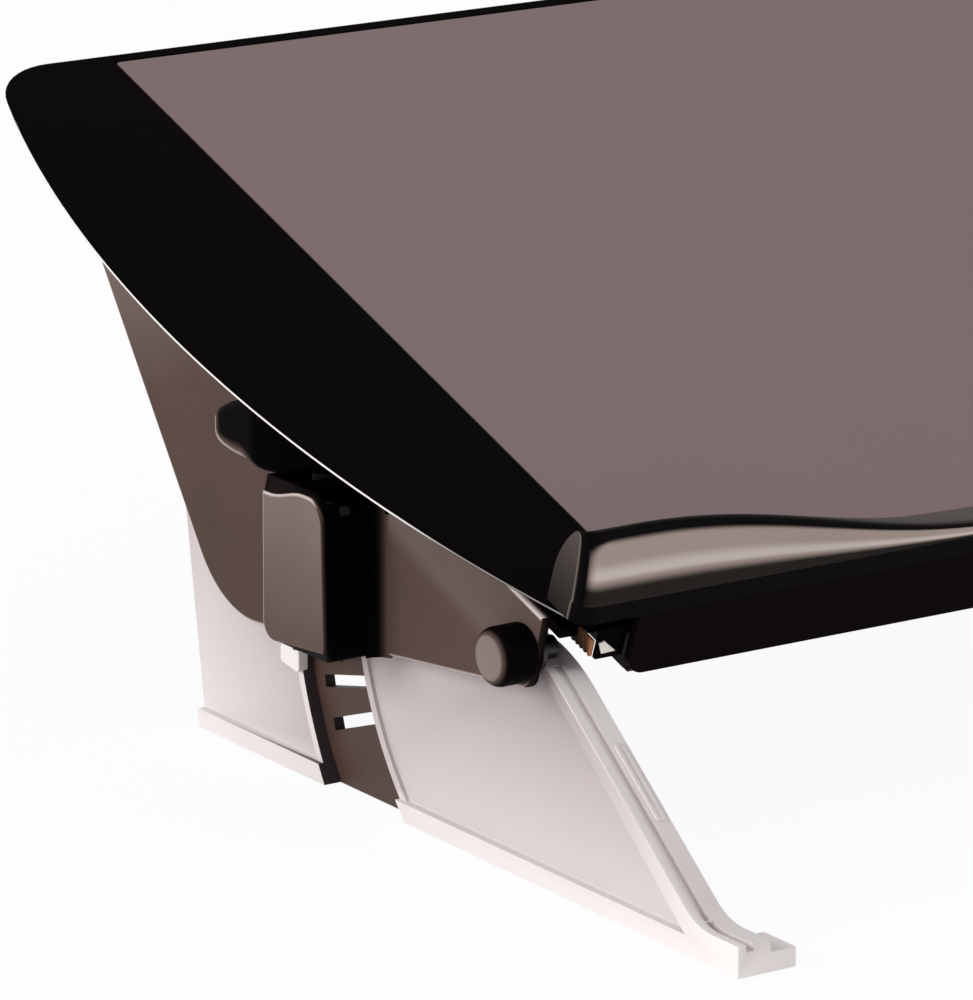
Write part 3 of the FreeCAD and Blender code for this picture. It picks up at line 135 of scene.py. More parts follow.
def plastic(name, shaded, lit, rim, ior=1.53, specular=0.2, clear=0.0, drift=0.12, **surface):
    # the attribute tone paints light and shade: it leads from the shaded colour (0) over the lit one (1) to a
    # pale rim colour (2) used for painted highlights
    material, tree, principled = newMaterial(
        name, IOR=ior, Specular_IOR_Level=specular, Transmission_Weight=clear)
    slow = addSurface(tree, principled, **{"spread": 0.05, "relief": 0.25, **surface})
    tone = addNode(tree, "ShaderNodeAttribute", {"attribute_name": "tone"}).outputs["Fac"]
    colour = addNode(tree, "ShaderNodeMix", {"data_type": "RGBA"}, Factor=tone, n6=linear(shaded),
                     n7=linear(lit))
    lift = addNode(tree, "ShaderNodeMapRange", Value=tone, From_Min=1.0, From_Max=2.0)
    colour = addNode(tree, "ShaderNodeMix", {"data_type": "RGBA"}, Factor=lift,
                     n6=colour.outputs[2], n7=linear(rim))
    change = addNode(tree, "ShaderNodeMapRange", Value=slow, To_Min=1 - drift, To_Max=1 + drift)
    varied = addNode(tree, "ShaderNodeMix", {"data_type": "RGBA", "blend_type": "MULTIPLY"},
                     Factor=1.0, n6=colour.outputs[2], n7=change)
    tree.links.new(varied.outputs[2], principled.inputs["Base Color"])
    return material


# ABS moulded in a finely eroded tool, in painted lit and shaded copies: satin brown charcoal where painted
# lit, painted black shade where it turns away, with painted highlights on its rims
charcoalAbs = plastic("SatinCharcoalAbs", "#060404", "#54443f", "#f0e3de", specular=0.008, drift=0.16,
                      roughness=0.42, grain=0.5, mottle=28.0)
# the deck's ABS with almost no specular, in painted lit and shaded copies: its top takes the shaded colour as
# painted shade, so that it reads as deep black, and its rims carry a painted highlight
deckAbs = plastic("DeepBlackAbs", "#060404", "#1c1716", "#f4f0ee", specular=0.004, drift=0.1,
                  roughness=0.5, grain=0.45, relief=0.2, mottle=60.0)
# the lip: the same dark plastic, its front face painted pale as a painted reflection of the light
lipAbs = plastic("SatinLipAbs", "#060404", "#a4958e", "#f2ebe7", specular=0.02, drift=0.1, roughness=0.4,
                 spread=0.04, grain=0.5, relief=0.2, mottle=30.0)
# the centre panel: extruded styrene sheet with an even taupe matt
panelSheet = plastic("TaupeStyreneSheet", "#6c5b59", "#7d6a69", "#c9bdbb", ior=1.5, drift=0.05,
                     roughness=0.5, spread=0.04, grain=0.8, mottle=90.0)
# glass-filled nylon of the slot plates: matt dark brown with a faint fibre mottling
slotNylon = plastic("BrownFilledNylon", "#120c0a", "#4b3630", "#d8cdc9", roughness=0.5, spread=0.06,
                    grain=0.7, relief=0.3, mottle=12.0)
# soft brown polyethylene of the rail plugs and stops: waxy, with a soft sheen
plugPolyethylene = plastic("BrownPolyethylene", "#1d100a", "#7a4a2c", "#b98a68", ior=1.5, specular=0.3,
                           roughness=0.45, grain=0.6, mottle=10.0)
# natural acetal of the runners: waxy off-white
naturalAcetal = plastic("NaturalAcetal", "#8f8c83", "#d9d6cc", "#f3f1ea", ior=1.48, specular=0.45,
                        drift=0.05, roughness=0.35, spread=0.04, grain=0.6, relief=0.15, mottle=20.0)
# synthetic rubber of the feet: dull black with a coarse skin
footRubber = plastic("BlackFootRubber", "#0c0c0c", "#1d1c1c", "#3a3838", ior=1.5, roughness=0.75,
                     spread=0.08, grain=0.9, relief=0.5, mottle=8.0)
# polycarbonate with a frosted skin: milky, faintly mauve, with painted shade at its cut edges and a painted
# highlight on its thick rims
frostedLeg = plastic("FrostedPolycarbonate", "#1d1516", "#c2b5b6", "#f5efee", ior=1.58, specular=0.3,
                     clear=0.12, drift=0.05, roughness=0.42, spread=0.04, grain=0.4, relief=0.15,
                     mottle=45.0)


def metal(name, shaded, lit, metallic=1.0, **surface):
    # the shaded and lit colours are mixed at random by the slow mottling, not by light
    material, tree, principled = newMaterial(name, Metallic=metallic)
    slow = addSurface(tree, principled, spread=0.08, **surface)
    colour = addNode(tree, "ShaderNodeMix", {"data_type": "RGBA"}, Factor=slow, n6=linear(shaded),
                     n7=linear(lit))
    tree.links.new(colour.outputs[2], principled.inputs["Base Color"])
    return material


# powder-coated steel: black with the orange peel of a baked coat
powderSteel = metal("BlackPowderCoatedSteel", "#0b0a0a", "#171515", metallic=0.0, roughness=0.4,
                    grain=1.4, relief=0.4, mottle=15.0)
# bright zinc plate on steel: bluish silver with a soft spangle
zincSteel = metal("BrightZincSteel", "#a9abae", "#cfd1d2", roughness=0.28, grain=0.9, relief=0.2,
                  mottle=5.0)
# hard-drawn spring wire: darker, with fine drawing marks
springSteel = metal("DrawnSpringWire", "#5b5c60", "#85878b", roughness=0.35, grain=0.5, relief=0.3,
                    mottle=3.0)
print("materials made")


def smoothStep(low, high, value):
    share = min(1.0, max(0.0, (value - low) / (high - low)))
    return share * share * (3 - 2 * share)


def between(low, high, share):
    return low + (high - low) * share


def curve(start, pull, end, share):
    # a point on a quadratic curve
    return start * (1 - share) ** 2 + pull * 2 * share * (1 - share) + end * share ** 2


def roundedFall(share, power):
    # 1 at share 0, 0 at share 1, along a quarter of a superellipse
    return (1 - min(1.0, max(0.0, share)) ** power) ** (1 / power)


def insetLoop(loop, distance):
    # moves an outline that runs counter-clockwise inwards by distance, sharp corners not much further
    moved = []
    for before, here, after in zip(loop[-1:] + loop[:-1], loop, loop[1:] + loop[:1]):
        incoming = (here - before).normalized()
        outgoing = (after - here).normalized()
        along = (incoming + outgoing).normalized()
        inward = Vector((-along.y, along.x))
        moved.append(here + inward * distance / max(0.4, inward.dot(Vector((-incoming.y, incoming.x)))))
    return moved


def roundedOutline(corners, segments):
    # corners are (x, y, radius); each rounded one becomes an arc of so many segments
    outline = []
    for before, corner, after in zip(corners[-1:] + corners[:-1], corners, corners[1:] + corners[:1]):
        here, radius = Vector(corner[:2]), corner[2]
        if not radius:
            outline.append(here)
            continue
        back = (Vector(before[:2]) - here).normalized()
        ahead = (Vector(after[:2]) - here).normalized()
        opening = back.angle(ahead)
        centre = here + (back + ahead).normalized() * radius / math.sin(opening / 2)
        arm = here + back * radius / math.tan(opening / 2) - centre
        turn = math.pi - opening
        if back.x * ahead.y - back.y * ahead.x > 0:
            turn = -turn
        for step in range(segments + 1):
            angle = turn * step / segments
            outline.append(centre + Vector((arm.x * math.cos(angle) - arm.y * math.sin(angle),
                                            arm.x * math.sin(angle) + arm.y * math.cos(angle))))
    return outline


def rectangle(left, front, right, rear, *more):
    # its corners, counter-clockwise; more is added to each
    return [(left, front, *more), (right, front, *more), (right, rear, *more), (left, rear, *more)]


def insetLoops(outline, levels, axis=0):
    # loops in planes across an axis; each level is an inset of the outline and its place on the axis
    loops = []
    for inset, level in levels:
        loops.append([(*point[:axis], level, *point[axis:]) for point in insetLoop(outline, inset)])
    return loops


def addObject(name, data):
    added = bpy.data.objects.new(name, data)
    bpy.context.collection.objects.link(added)
    return added


def newPiece(name, mesh, place, material):
    # a shape in the units of place, or a mesh, becomes an object in metres with its material
    if isinstance(mesh, bmesh.types.BMesh):
        shape = mesh
        mesh = bpy.data.meshes.new(name)
        bmesh.ops.remove_doubles(shape, verts=shape.verts, dist=1e-5)
        bmesh.ops.recalc_face_normals(shape, faces=shape.faces)
        shape.to_mesh(mesh)
        shape.free()
    mesh.transform(place)
    if place.determinant() < 0:
        mesh.flip_normals()
    mesh.materials.clear()
    mesh.materials.append(material)
    return addObject(name, mesh)


def addRows(shape, loops):
    # faces between loops of equally many points
    rows = [[shape.verts.new(point) for point in loop] for loop in loops]
    for low, high in zip(rows, rows[1:]):
        for at in range(len(low)):
            after = (at + 1) % len(low)
            shape.faces.new((low[at], low[after], high[after], high[at]))
    return rows


def stackLoops(loops, closed=True):
    # a skin through loops of equally many points, closed by flat faces at both ends
    shape = bmesh.new()
    rows = addRows(shape, loops)
    if closed:
        shape.faces.new(rows[0][::-1])
        shape.faces.new(rows[-1])
    return shape


def block(low, high):
    # a box between two corners
    return stackLoops([rectangle(*low[:2], *high[:2], height) for height in (low[2], high[2])])


def settle(piece):
    # what the modifiers give becomes the plain mesh
    graph = bpy.context.evaluated_depsgraph_get()
    mesh = bpy.data.meshes.new_from_object(piece.evaluated_get(graph))
    piece.modifiers.clear()
    piece.data = mesh


def carve(piece, shape, place):
    # takes a closed shape away from a piece
    cutter = newPiece(piece.name + "_cutter", shape, place, piece.data.materials[0])
    cut = piece.modifiers.new("Carve", "BOOLEAN")
    cut.operation = "DIFFERENCE"
    cut.solver = "EXACT"
    cut.object = cutter
    settle(piece)
    bpy.data.objects.remove(cutter)
    return piece


def soften(piece, width, angle=32):
    # rounds the sharp edges by width in mm and shades the rest smooth
    if width:
        bevel = piece.modifiers.new("Soft edges", "BEVEL")
        bevel.width = width * 0.001
        bevel.segments = 2
        bevel.limit_method = "ANGLE"
        bevel.angle_limit = math.radians(angle)
        bevel.harden_normals = False
        bevel.use_clamp_overlap = True
    settle(piece)
    piece.data.shade_smooth()
    piece.data.set_sharp_from_angle(angle=math.radians(angle))
    weighted = piece.modifiers.new("Even shading", "WEIGHTED_NORMAL")
    weighted.keep_sharp = True
    weighted.weight = 80
    settle(piece)


def paintTone(piece, value, place):
    # value is a number or a function of a vertex and its normal, both in the frame of place
    attribute = piece.data.attributes.new("tone", "FLOAT", "POINT")
    inverse = place.inverted()
    turn = inverse.to_3x3()
    for vertex in piece.data.vertices:
        tone = value
        if callable(value):
            tone = value(inverse @ vertex.co, (turn @ vertex.normal).normalized())
        attribute.data[vertex.index].value = min(2.0, max(0.0, tone))


def sideTone(point, normal):
    # lit where a surface faces out to its side, shaded where it turns to the front or back
    return smoothStep(0.35, 0.9, -normal.x)


def finishPiece(piece, material, body, *nodes):
    # nodes are the CAD nodes that the piece stands in for
    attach(piece, body)
    if nodes:
        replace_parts(piece, *nodes)
    return piece


def makePiece(name, shape, place, material, body, *nodes, tone=0.0, width=0, angle=32):
    # a shape in the millimetres of place, softened, painted and put on its body
    piece = newPiece(name, shape, place, material)
    soften(piece, width, angle=angle)
    paintTone(piece, tone, place)
    return finishPiece(piece, material, body, *nodes)


def ring(radius, x, steps, centre=(0.0, 0.0)):
    # a circle in the plane across X
    turns = [math.tau * step / steps for step in range(steps)]
    return [(x, centre[0] + radius * math.cos(turn), centre[1] + radius * math.sin(turn)) for turn in turns]


def copyNode(node):
    # the CAD node's triangles merged into clean faces
    shape = bmesh.new()
    shape.from_mesh(frame["nodes"][node].data)
    bmesh.ops.remove_doubles(shape, verts=shape.verts, dist=2e-6)
    bmesh.ops.dissolve_limit(shape, angle_limit=math.radians(0.5), verts=shape.verts, edges=shape.edges)
    return shape


def plainPiece(name, shape, material):
    # a piece from a shape in metres, left as it is
    mesh = bpy.data.meshes.new(name)
    shape.to_mesh(mesh)
    shape.free()
    return newPiece(name, mesh, Matrix.Identity(4), material)


def dressNode(node, body, material, width, tone=0.5, place=Matrix.Identity(4), prepare=None):
    # the CAD node's own shape with soft edges and a tone
    shape = copyNode(node)
    if prepare:
        prepare(shape, place.inverted())
    piece = plainPiece(node + "_dressed", shape, material)
    soften(piece, width)
    paintTone(piece, tone, place)
    finishPiece(piece, material, body, node)


def roundEdges(shape, chosen, width):
    # rounds the edges of a shape in metres for which chosen says yes, by width in mm
    edges = [edge for edge in shape.edges if chosen(edge)]
    bmesh.ops.bevel(shape, geom=edges, offset=width * 0.001, segments=4, profile=0.5, affect="EDGES",
                    clamp_overlap=True)


# geometry trees for what repeats

def newTree(name, sizes):
    tree = bpy.data.node_groups.new(name, "GeometryNodeTree")
    tree.interface.new_socket("Geometry", in_out="INPUT", socket_type="NodeSocketGeometry")
    for label, kind in {**sizes, "Finish": "Material"}.items():
        tree.interface.new_socket(label, in_out="INPUT", socket_type="NodeSocket" + kind)
    tree.interface.new_socket("Geometry", in_out="OUTPUT", socket_type="NodeSocketGeometry")
    return tree, addNode(tree, "NodeGroupInput").outputs


def endTree(tree, given, instances):
    real = addNode(tree, "GeometryNodeRealizeInstances", Geometry=instances)
    dressed = addNode(tree, "GeometryNodeSetMaterial", Geometry=real, Material=given["Finish"])
    addNode(tree, "NodeGroupOutput", Geometry=dressed)
    return tree


def growPiece(name, tree, points, place, material, axes=(), **sizes):
    # runs a tree on points in the millimetres of place; its inputs are set by their identifiers
    mesh = bpy.data.meshes.new(name)
    mesh.from_pydata(points, [], [])
    if axes:
        layer = mesh.attributes.new("axis", "FLOAT_VECTOR", "POINT")
        for at, axis in enumerate(axes):
            layer.data[at].vector = axis
    piece = addObject(name, mesh)
    grower = piece.modifiers.new(tree.name, "NODES")
    grower.node_group = tree
    sizes["Finish"] = material
    for item in tree.interface.items_tree:
        if item.item_type == "SOCKET" and item.in_out == "INPUT" and item.name in sizes:
            grower[item.identifier] = sizes[item.name]
    settle(piece)
    piece.data.transform(place)
    return piece


screw = {"Radius": 2.9, "Height": 1.3, "Crown": 2.2, "Recess": 3.2, "Blade": 0.75, "Shank": 1.4}


def makeScrewTree():
    # a pan head with a cross recess and its shank, one at each point, its top at the point
    tree, given = newTree("PanHeadScrews", dict.fromkeys([*screw, "Length"], "Float"))
    head = addNode(tree, "GeometryNodeMeshCone", Vertices=28, Radius_Top=given["Crown"],
                   Radius_Bottom=given["Radius"], Depth=given["Height"])
    shank = addNode(tree, "GeometryNodeMeshCylinder", Vertices=16, Radius=given["Shank"],
                    Depth=given["Length"])
    drop = addNode(tree, "ShaderNodeMath", {"operation": "MULTIPLY"}, n0=given["Height"], n1=-1.0)
    half = addNode(tree, "ShaderNodeMath", {"operation": "MULTIPLY"}, n0=given["Length"], n1=-0.5)
    reach = addNode(tree, "ShaderNodeMath", {"operation": "ADD"}, n0=half, n1=drop)
    lowered = []
    for source, height in ((head, drop), (shank, reach)):
        offset = addNode(tree, "ShaderNodeCombineXYZ", Z=height)
        lowered.append(addNode(tree, "GeometryNodeTransform", Geometry=source, Translation=offset))
    bars = addNode(tree, "GeometryNodeJoinGeometry")
    for first, second in (("Recess", "Blade"), ("Blade", "Recess")):
        size = addNode(tree, "ShaderNodeCombineXYZ", X=given[first], Y=given[second], Z=given["Height"])
        tree.links.new(addNode(tree, "GeometryNodeMeshCube", Size=size).outputs[0], bars.inputs[0])
    recessed = addNode(tree, "GeometryNodeMeshBoolean", {"operation": "DIFFERENCE", "solver": "EXACT"},
                       n0=lowered[0], n1=bars)
    whole = addNode(tree, "GeometryNodeJoinGeometry")
    for source in (recessed, lowered[1]):
        tree.links.new(source.outputs[0], whole.inputs[0])
    axis = addNode(tree, "GeometryNodeInputNamedAttribute", {"data_type": "FLOAT_VECTOR"}, Name="axis")
    turned = addNode(tree, "FunctionNodeAlignRotationToVector", {"axis": "Z"}, Vector=axis)
    placed = addNode(tree, "GeometryNodeInstanceOnPoints", Points=given["Geometry"], Instance=whole,
                     Rotation=turned)
    return endTree(tree, given, placed)


def makeBarTree():
    # a level bar of one size at each point
    tree, given = newTree("RibBars", {"Size": "Vector"})
    bar = addNode(tree, "GeometryNodeMeshCube", Size=given["Size"])
    placed = addNode(tree, "GeometryNodeInstanceOnPoints", Points=given["Geometry"], Instance=bar)
    return endTree(tree, given, placed)


screwTree = makeScrewTree()
barTree = makeBarTree()
print("trees made")


# the deck, its ribs and the centre panel
deck = {
    "halfFront": 241.0, "halfWidest": 273.0, "halfRear": 251.3,
    "front": -12.5, "widest": 131.0, "rear": 265.8,
    "cornerRadius": 22.0, "frontRadius": 1.2, "top": 16.6, "thickness": 3.5,
    "undercut": 4.2, "rim": 0.7, "rimHighlight": 1.9,
    "panelHalf": 215.7, "panelFront": -1.6, "panelRear": 261.8, "panelCorner": 1.0,
    "panelThickness": 1.5, "gap": 0.3,
    "ribDepth": 4.6, "ribWall": 2.4, "ribSpacing": 64.0, "longRibs": 7, "crossRibs": 4,
    "ribFront": 3.9, "crossHalf": 196.0,
}


def circleThrough(first, second, third):
    a, b, c = Vector(first), Vector(second), Vector(third)
    d = 2 * (a.x * (b.y - c.y) + b.x * (c.y - a.y) + c.x * (a.y - b.y))
    x = (a.dot(a) * (b.y - c.y) + b.dot(b) * (c.y - a.y) + c.dot(c) * (a.y - b.y)) / d
    y = (a.dot(a) * (c.x - b.x) + b.dot(b) * (a.x - c.x) + c.dot(c) * (b.x - a.x)) / d
    return Vector((x, y)), (a - Vector((x, y))).length


def deckOutline():
    centre, radius = circleThrough((deck["halfFront"], deck["front"]),
                                   (deck["halfWidest"], deck["widest"]),
                                   (deck["halfRear"], deck["rear"]))
    steps = 44
    clear = deck["cornerRadius"] * 1.25
    right = [(deck["halfFront"], deck["front"], deck["frontRadius"])]
    for step in range(1, steps):
        y = deck["front"] + (deck["rear"] - clear - deck["front"]) * step / steps
        right.append((centre.x + math.sqrt(radius ** 2 - (y - centre.y) ** 2), y, 0))
    right.append((deck["halfRear"], deck["rear"], deck["cornerRadius"]))
    left = [(-x, y, r) for x, y, r in reversed(right)]
    return roundedOutline(right + left, 10)


def deckTone(point, normal):
    # black as painted shade, with a painted highlight along the rim of both sides, fading towards the front
    depth = deck["top"] - point.z
    line = smoothStep(0.12, 0.3, depth) * smoothStep(1.5, 1.1, depth)
    fade = 0.66 + 0.34 * smoothStep(22, 45, point.y)
    outward = smoothStep(0.5, 0.85, abs(normal.x))
    return deck["rimHighlight"] * line * fade * outward * smoothStep(250, 236, point.y)


def makeDeck():
    top, low = deck["top"], deck["top"] - deck["thickness"]
    outline = deckOutline()
    rim = deck["rim"]
    levels = [(deck["undercut"], low), (0.5, top - rim * 1.6), (0.12, top - rim * 1.3),
              (0.02, top - rim), (0.0, top - rim * 0.75), (0.06, top - rim * 0.45),
              (0.2, top - rim * 0.2), (0.42, top - rim * 0.05), (0.75, top)]
    shape = stackLoops(insetLoops(outline, levels, axis=2), closed=False)
    shape.verts.ensure_lookup_table()
    count = len(outline)
    shape.faces.new([shape.verts[at] for at in range(count)])
    # the pocket of the panel
    gap, soft = deck["gap"], 0.25
    half, front, rear = deck["panelHalf"] + gap, deck["panelFront"] - gap, deck["panelRear"] + gap
    floor = top - deck["panelThickness"]
    pocket = []
    for spread, height in ((soft, top), (soft * 0.3, top - soft * 0.3), (0.0, top - soft), (0.0, floor)):
        pocket.append(rectangle(-half - spread, front - spread, half + spread, rear + spread, height))
    rows = addRows(shape, pocket)
    shape.verts.ensure_lookup_table()
    shape.faces.new(rows[-1])
    outer = [shape.verts[count * (len(levels) - 1) + at] for at in range(count)]
    border = outer + rows[0]
    for triangle in tessellate_polygon([[vertex.co for vertex in part] for part in (outer, rows[0])]):
        shape.faces.new([border[at] for at in triangle])
    makePiece("platform_deck_shell", shape, slopeFrame, deckAbs, "platform", "platform_deck",
              tone=deckTone, angle=40)


def makeRibs():
    wall, depth, front = deck["ribWall"], deck["ribDepth"], deck["ribFront"]
    middle = deck["top"] - deck["thickness"] - depth / 2
    length = deck["rear"] - front
    count = deck["longRibs"]
    step = (length - wall) / (deck["crossRibs"] - 1)
    along = [(deck["ribSpacing"] * (at - (count - 1) / 2), front + length / 2, middle) for at in range(count)]
    across = [(0, front + wall / 2 + step * at, middle) for at in range(deck["crossRibs"])]
    for name, places, size in (("deck_long_ribs", along, (wall, length, depth)),
                               ("deck_cross_ribs", across, (deck["crossHalf"] * 2, wall, depth))):
        finishPiece(growPiece(name, barTree, places, slopeFrame, deckAbs, Size=size), deckAbs, "platform")


def makePanel():
    top, low = deck["top"], deck["top"] - deck["panelThickness"]
    half, corner, edge = deck["panelHalf"], deck["panelCorner"], 0.35
    outline = roundedOutline(rectangle(-half, deck["panelFront"], half, deck["panelRear"], corner), 4)
    loops = insetLoops(outline, [(0.0, low), (0.0, top - edge), (0.1, top - 0.1), (edge, top)], axis=2)
    makePiece("centre_panel_sheet", stackLoops(loops), slopeFrame, panelSheet, "platform", "centre_panel",
              tone=0.7, angle=40)


makeDeck()
makeRibs()
makePanel()
print("deck and panel made")


# the front lip
lip = {
    "half": 243.0, "rear": -2.0, "front": -16.0, "crestEnd": 26.0, "crestMiddle": 7.2,
    "backEnd": 11.0, "backMiddle": 4.4, "leanEnd": 4.2, "leanMiddle": 2.8, "seam": 5.6,
    "step": 0.6, "swell": 3.2, "endRun": 16.0, "waveEnd": 110.0, "endRound": 5.0, "endDraw": 4.6,
    "endDrop": 1.2, "crestRadiusEnd": 2.2, "crestRadiusMiddle": 1.6,
    # the pale face is a painted reflection and its black border painted shade
    "faceMargin": 2.0, "faceCorner": 4.5,  # black border of the pale face at its end
    "faceTop": 0.24, "faceFall": 0.74, "faceDark": 0.86,  # shares of the way from crest to seam
    # capTone paints the end caps lighter towards their top as painted light; capEdge paints their edge as a
    # painted highlight
    "capTone": (0.04, 0.15), "capEdge": 0.4,
}


def lipWave(x):
    start, end = lip["half"] - lip["endRun"], lip["waveEnd"]
    share = min(1.0, max(0.0, (abs(x) - end) / (start - end)))
    return 0.5 - 0.5 * math.cos(math.pi * share)


def faceTone(x, share):
    # the lip's face painted pale as a painted reflection: a black border of painted shade, a painted
    # highlight above its lower edge, and a dark brown strip of painted shade below
    fromEnd = lip["half"] - lip["faceMargin"] - abs(x)
    corner = max(0.0, (0.5 - share) / (0.5 - lip["faceTop"]))
    fromEnd -= lip["faceCorner"] * (1 - roundedFall(corner, 2))
    face = smoothStep(lip["faceTop"] - 0.04, lip["faceTop"] + 0.06, share)
    face *= smoothStep(-1.5, 1.2, fromEnd)
    lift = 0.4 * smoothStep(0.5, 0.68, share)
    lift *= smoothStep(lip["faceFall"] + 0.02, lip["faceFall"] - 0.04, share)
    fall = smoothStep(lip["faceDark"], lip["faceFall"], share)
    return face * (0.05 + (0.95 + lift) * fall)


def lipSection(x):
    # the lip cut across at x: points up the slope and off the deck, and the tone of each, which paints its
    # light and shade; the crest and the step at the seam are painted black shade
    wave = lipWave(x)
    base = deck["top"]
    mixed = {name: between(lip[name + "Middle"], lip[name + "End"], wave)
             for name in ("crest", "back", "lean", "crestRadius")}
    seam, back, crest = base + lip["seam"], base + mixed["back"], base + mixed["crest"]
    front, rear = lip["front"], lip["rear"]
    top = front + mixed["lean"]
    pull = Vector(((rear + top) / 2 + lip["swell"] * wave, crest - (crest - back) * wave * 0.4))
    brown = 0.22 * (1 - wave)  # the middle's back catches some light
    corners = [(rear, base, 0, brown), (rear, back, 0.9, brown)]
    start, end = Vector((rear, back)), Vector((top, crest))
    for share in (0.2, 0.35, 0.5, 0.65, 0.8):
        point = curve(start, pull, end, share)
        corners.append((point.x, point.y, 0, brown))
    corners.append((top, crest, mixed["crestRadius"], 0.0))
    foot = Vector((front, seam))
    bulge = Vector((between(front, top, 0.3), between(crest, seam, 0.3)))
    for step in range(32):
        share = 0.2 + 0.025 * step
        point = curve(end, bulge, foot, share)
        corners.append((point.x, point.y, 0, faceTone(x, share)))
    step = lip["step"]
    corners += [(front, seam + 0.12, 0, 0.06), (front + 0.15, seam, 0, 0.09),
                (front + step, seam - 0.15, 0, 0.0), (front + step, seam - step, 0, 0.0),
                (front + step, base, 0, 0.0)]
    outline = roundedOutline([corner[:3] for corner in corners], 5)
    tones = []
    for corner in corners:
        tones += [corner[3]] * (6 if corner[2] else 1)
    return outline, tones


def lipLoop(x, draw):
    # a section whose front is drawn back by a share of the whole draw, its crest a little down
    outline, tones = lipSection(x)
    base, rear = deck["top"], lip["rear"]
    back = 1 - draw * lip["endDraw"] / (rear - lip["front"])
    down = 1 - draw * lip["endDrop"] / lip["crestEnd"]
    loop = [(x, between(rear, point.x, back), between(base, point.y, down)) for point in outline]
    return loop, tones


def makeLip():
    half, radius = lip["half"], lip["endRound"]
    turns = [math.radians(10 * step) for step in range(10)]
    ends = [(half - radius + radius * math.sin(turn), 1 - math.cos(turn)) for turn in turns]
    inner = [x * 4.0 for x in range(0, 57)]
    fine = 0.6
    inner += [inner[-1] + fine * step for step in range(1, int((half - radius - inner[-1]) / fine))]
    stations = [(-x, draw) for x, draw in reversed(ends)] + [(-x, 0.0) for x in reversed(inner[1:])]
    stations += [(x, 0.0) for x in inner] + ends
    loops, tones = [], []
    for x, draw in stations:
        loop, tone = lipLoop(x, draw)
        loops.append(loop)
        # the cap's edge takes a painted highlight and the rounding round the end painted black shade
        if abs(x) > half - 0.06:  # the edge of the cap
            tone = [lip["capEdge"]] * len(tone)
        elif draw >= 0.3:  # black round the end
            tone = [0] * len(tone)
        tones.append(tone)
    for at, ending in ((0, -half), (len(loops) + 1, half)):
        loop = lipLoop(ending, 1.06)[0]
        loops.insert(at, loop)
        # the end caps are painted lighter towards their top, as painted light
        base, high = deck["top"], deck["top"] + lip["crestEnd"]
        low, rise = lip["capTone"]
        tones.insert(at, [low + rise * smoothStep(base, high, point[2]) for point in loop])
    shape = stackLoops(loops)
    layer = shape.verts.layers.float.new("tone")
    shape.verts.ensure_lookup_table()
    for vertex, value in zip(shape.verts, [value for row in tones for value in row]):
        vertex[layer] = value
    piece = newPiece("front_lip_moulding", shape, slopeFrame, lipAbs)
    soften(piece, 0, angle=50)
    finishPiece(piece, lipAbs, "platform", "front_lip")


makeLip()
dressNode("front_apron", "platform", deckAbs, width=0.5, tone=0.4)
print("lip and apron made")


# the side covers with the fairing above the lever
cover = {
    "outer": 245.0, "wall": 2.5, "top": 12.6, "front": -5.4, "nose": -7.7, "frontTop": -4.6,
    "lowBack": 124.6, "low": -70.4, "rear": 244.0, "lowRound": 31.0, "noseRound": 4.6, "topRound": 1.1,
    "edge": 0.9, "shelfInner": 219.5, "shelfLow": 9.8, "shelfFront": -10.0, "shelfRear": 238.0,
    "skirtOuter": 236.9, "skirtWall": 1.4, "skirtFront": -11.5, "skirtRear": 8.0, "skirtLow": 7.9,
    "windowFront": 1.6, "windowRear": 13.9, "windowTop": -13.1,  # in the lever's frame
    "lugFront": -5.6, "lugRear": 4.4, "lugRadius": 3.9, "lugFoot": -12.2, "pinLine": 255.0,
}
fairing = {
    "reach": 21.0, "low": 6.0, "lowRise": 1.2, "front": -19.1, "tip": 36.6, "tipHeight": 12.9,
    "topStart": 15.0, "topPower": 1.5, "lowStart": 18.0, "lowPower": 2.2, "roundStart": 28.0,
    "roundPower": 2.4, "skirt": 7.0, "skirtWall": 0.4, "roofRise": 5.6, "roofGap": 0.4,
    "frontLift": 5.0, "fallStart": -4.0, "fallEnd": 13.0, "edge": 2.2, "noseEdge": 5.5,
    "stripRear": -15.8, "stripLow": -38.8,
}


def onSlope(a, b):
    # a place in the lever's frame, seen in the slope's
    place = slopeFrame.inverted() @ leverFrame @ Vector((0, a, b))
    return place.y, place.z


def coverWindow():
    # the strap's window, open at the lower edge
    start, end = Vector((cover["front"], cover["nose"])), Vector((cover["lowBack"], cover["low"]))
    corners = []
    for a in (cover["windowFront"], cover["windowRear"]):
        high, deep = Vector(onSlope(a, cover["windowTop"])), Vector(onSlope(a, cover["windowTop"] - 60))
        along, fall = end - start, deep - high
        share = ((high - start).cross(fall)) / along.cross(fall)
        corners.append([(*(start + along * share), 0), (*high, 0)])
    return corners[0] + corners[1][::-1]


def coverTone(point, normal):
    # brown charcoal painted where it faces out, painted paler up at the back and towards the front, with a
    # painted highlight on the front of the top edge and along the lower edge, and painted shade on edges
    # turned to the front
    tone = sideTone(point, normal) * (0.9 + 0.26 * smoothStep(90, 230, point.y + point.z)
                                      + 0.12 * smoothStep(40, 0, point.y))
    across = point.x + cover["outer"]
    if not 0.05 < across < cover["edge"] + 0.05:
        return tone
    rim = smoothStep(30, 8, point.y) * smoothStep(0.1, 0.5, normal.z) + 0.7 * smoothStep(0.1, 0.5, -normal.z)
    if -normal.y > 0.5:
        return 0.2
    return max(tone, 1 + 0.8 * rim)


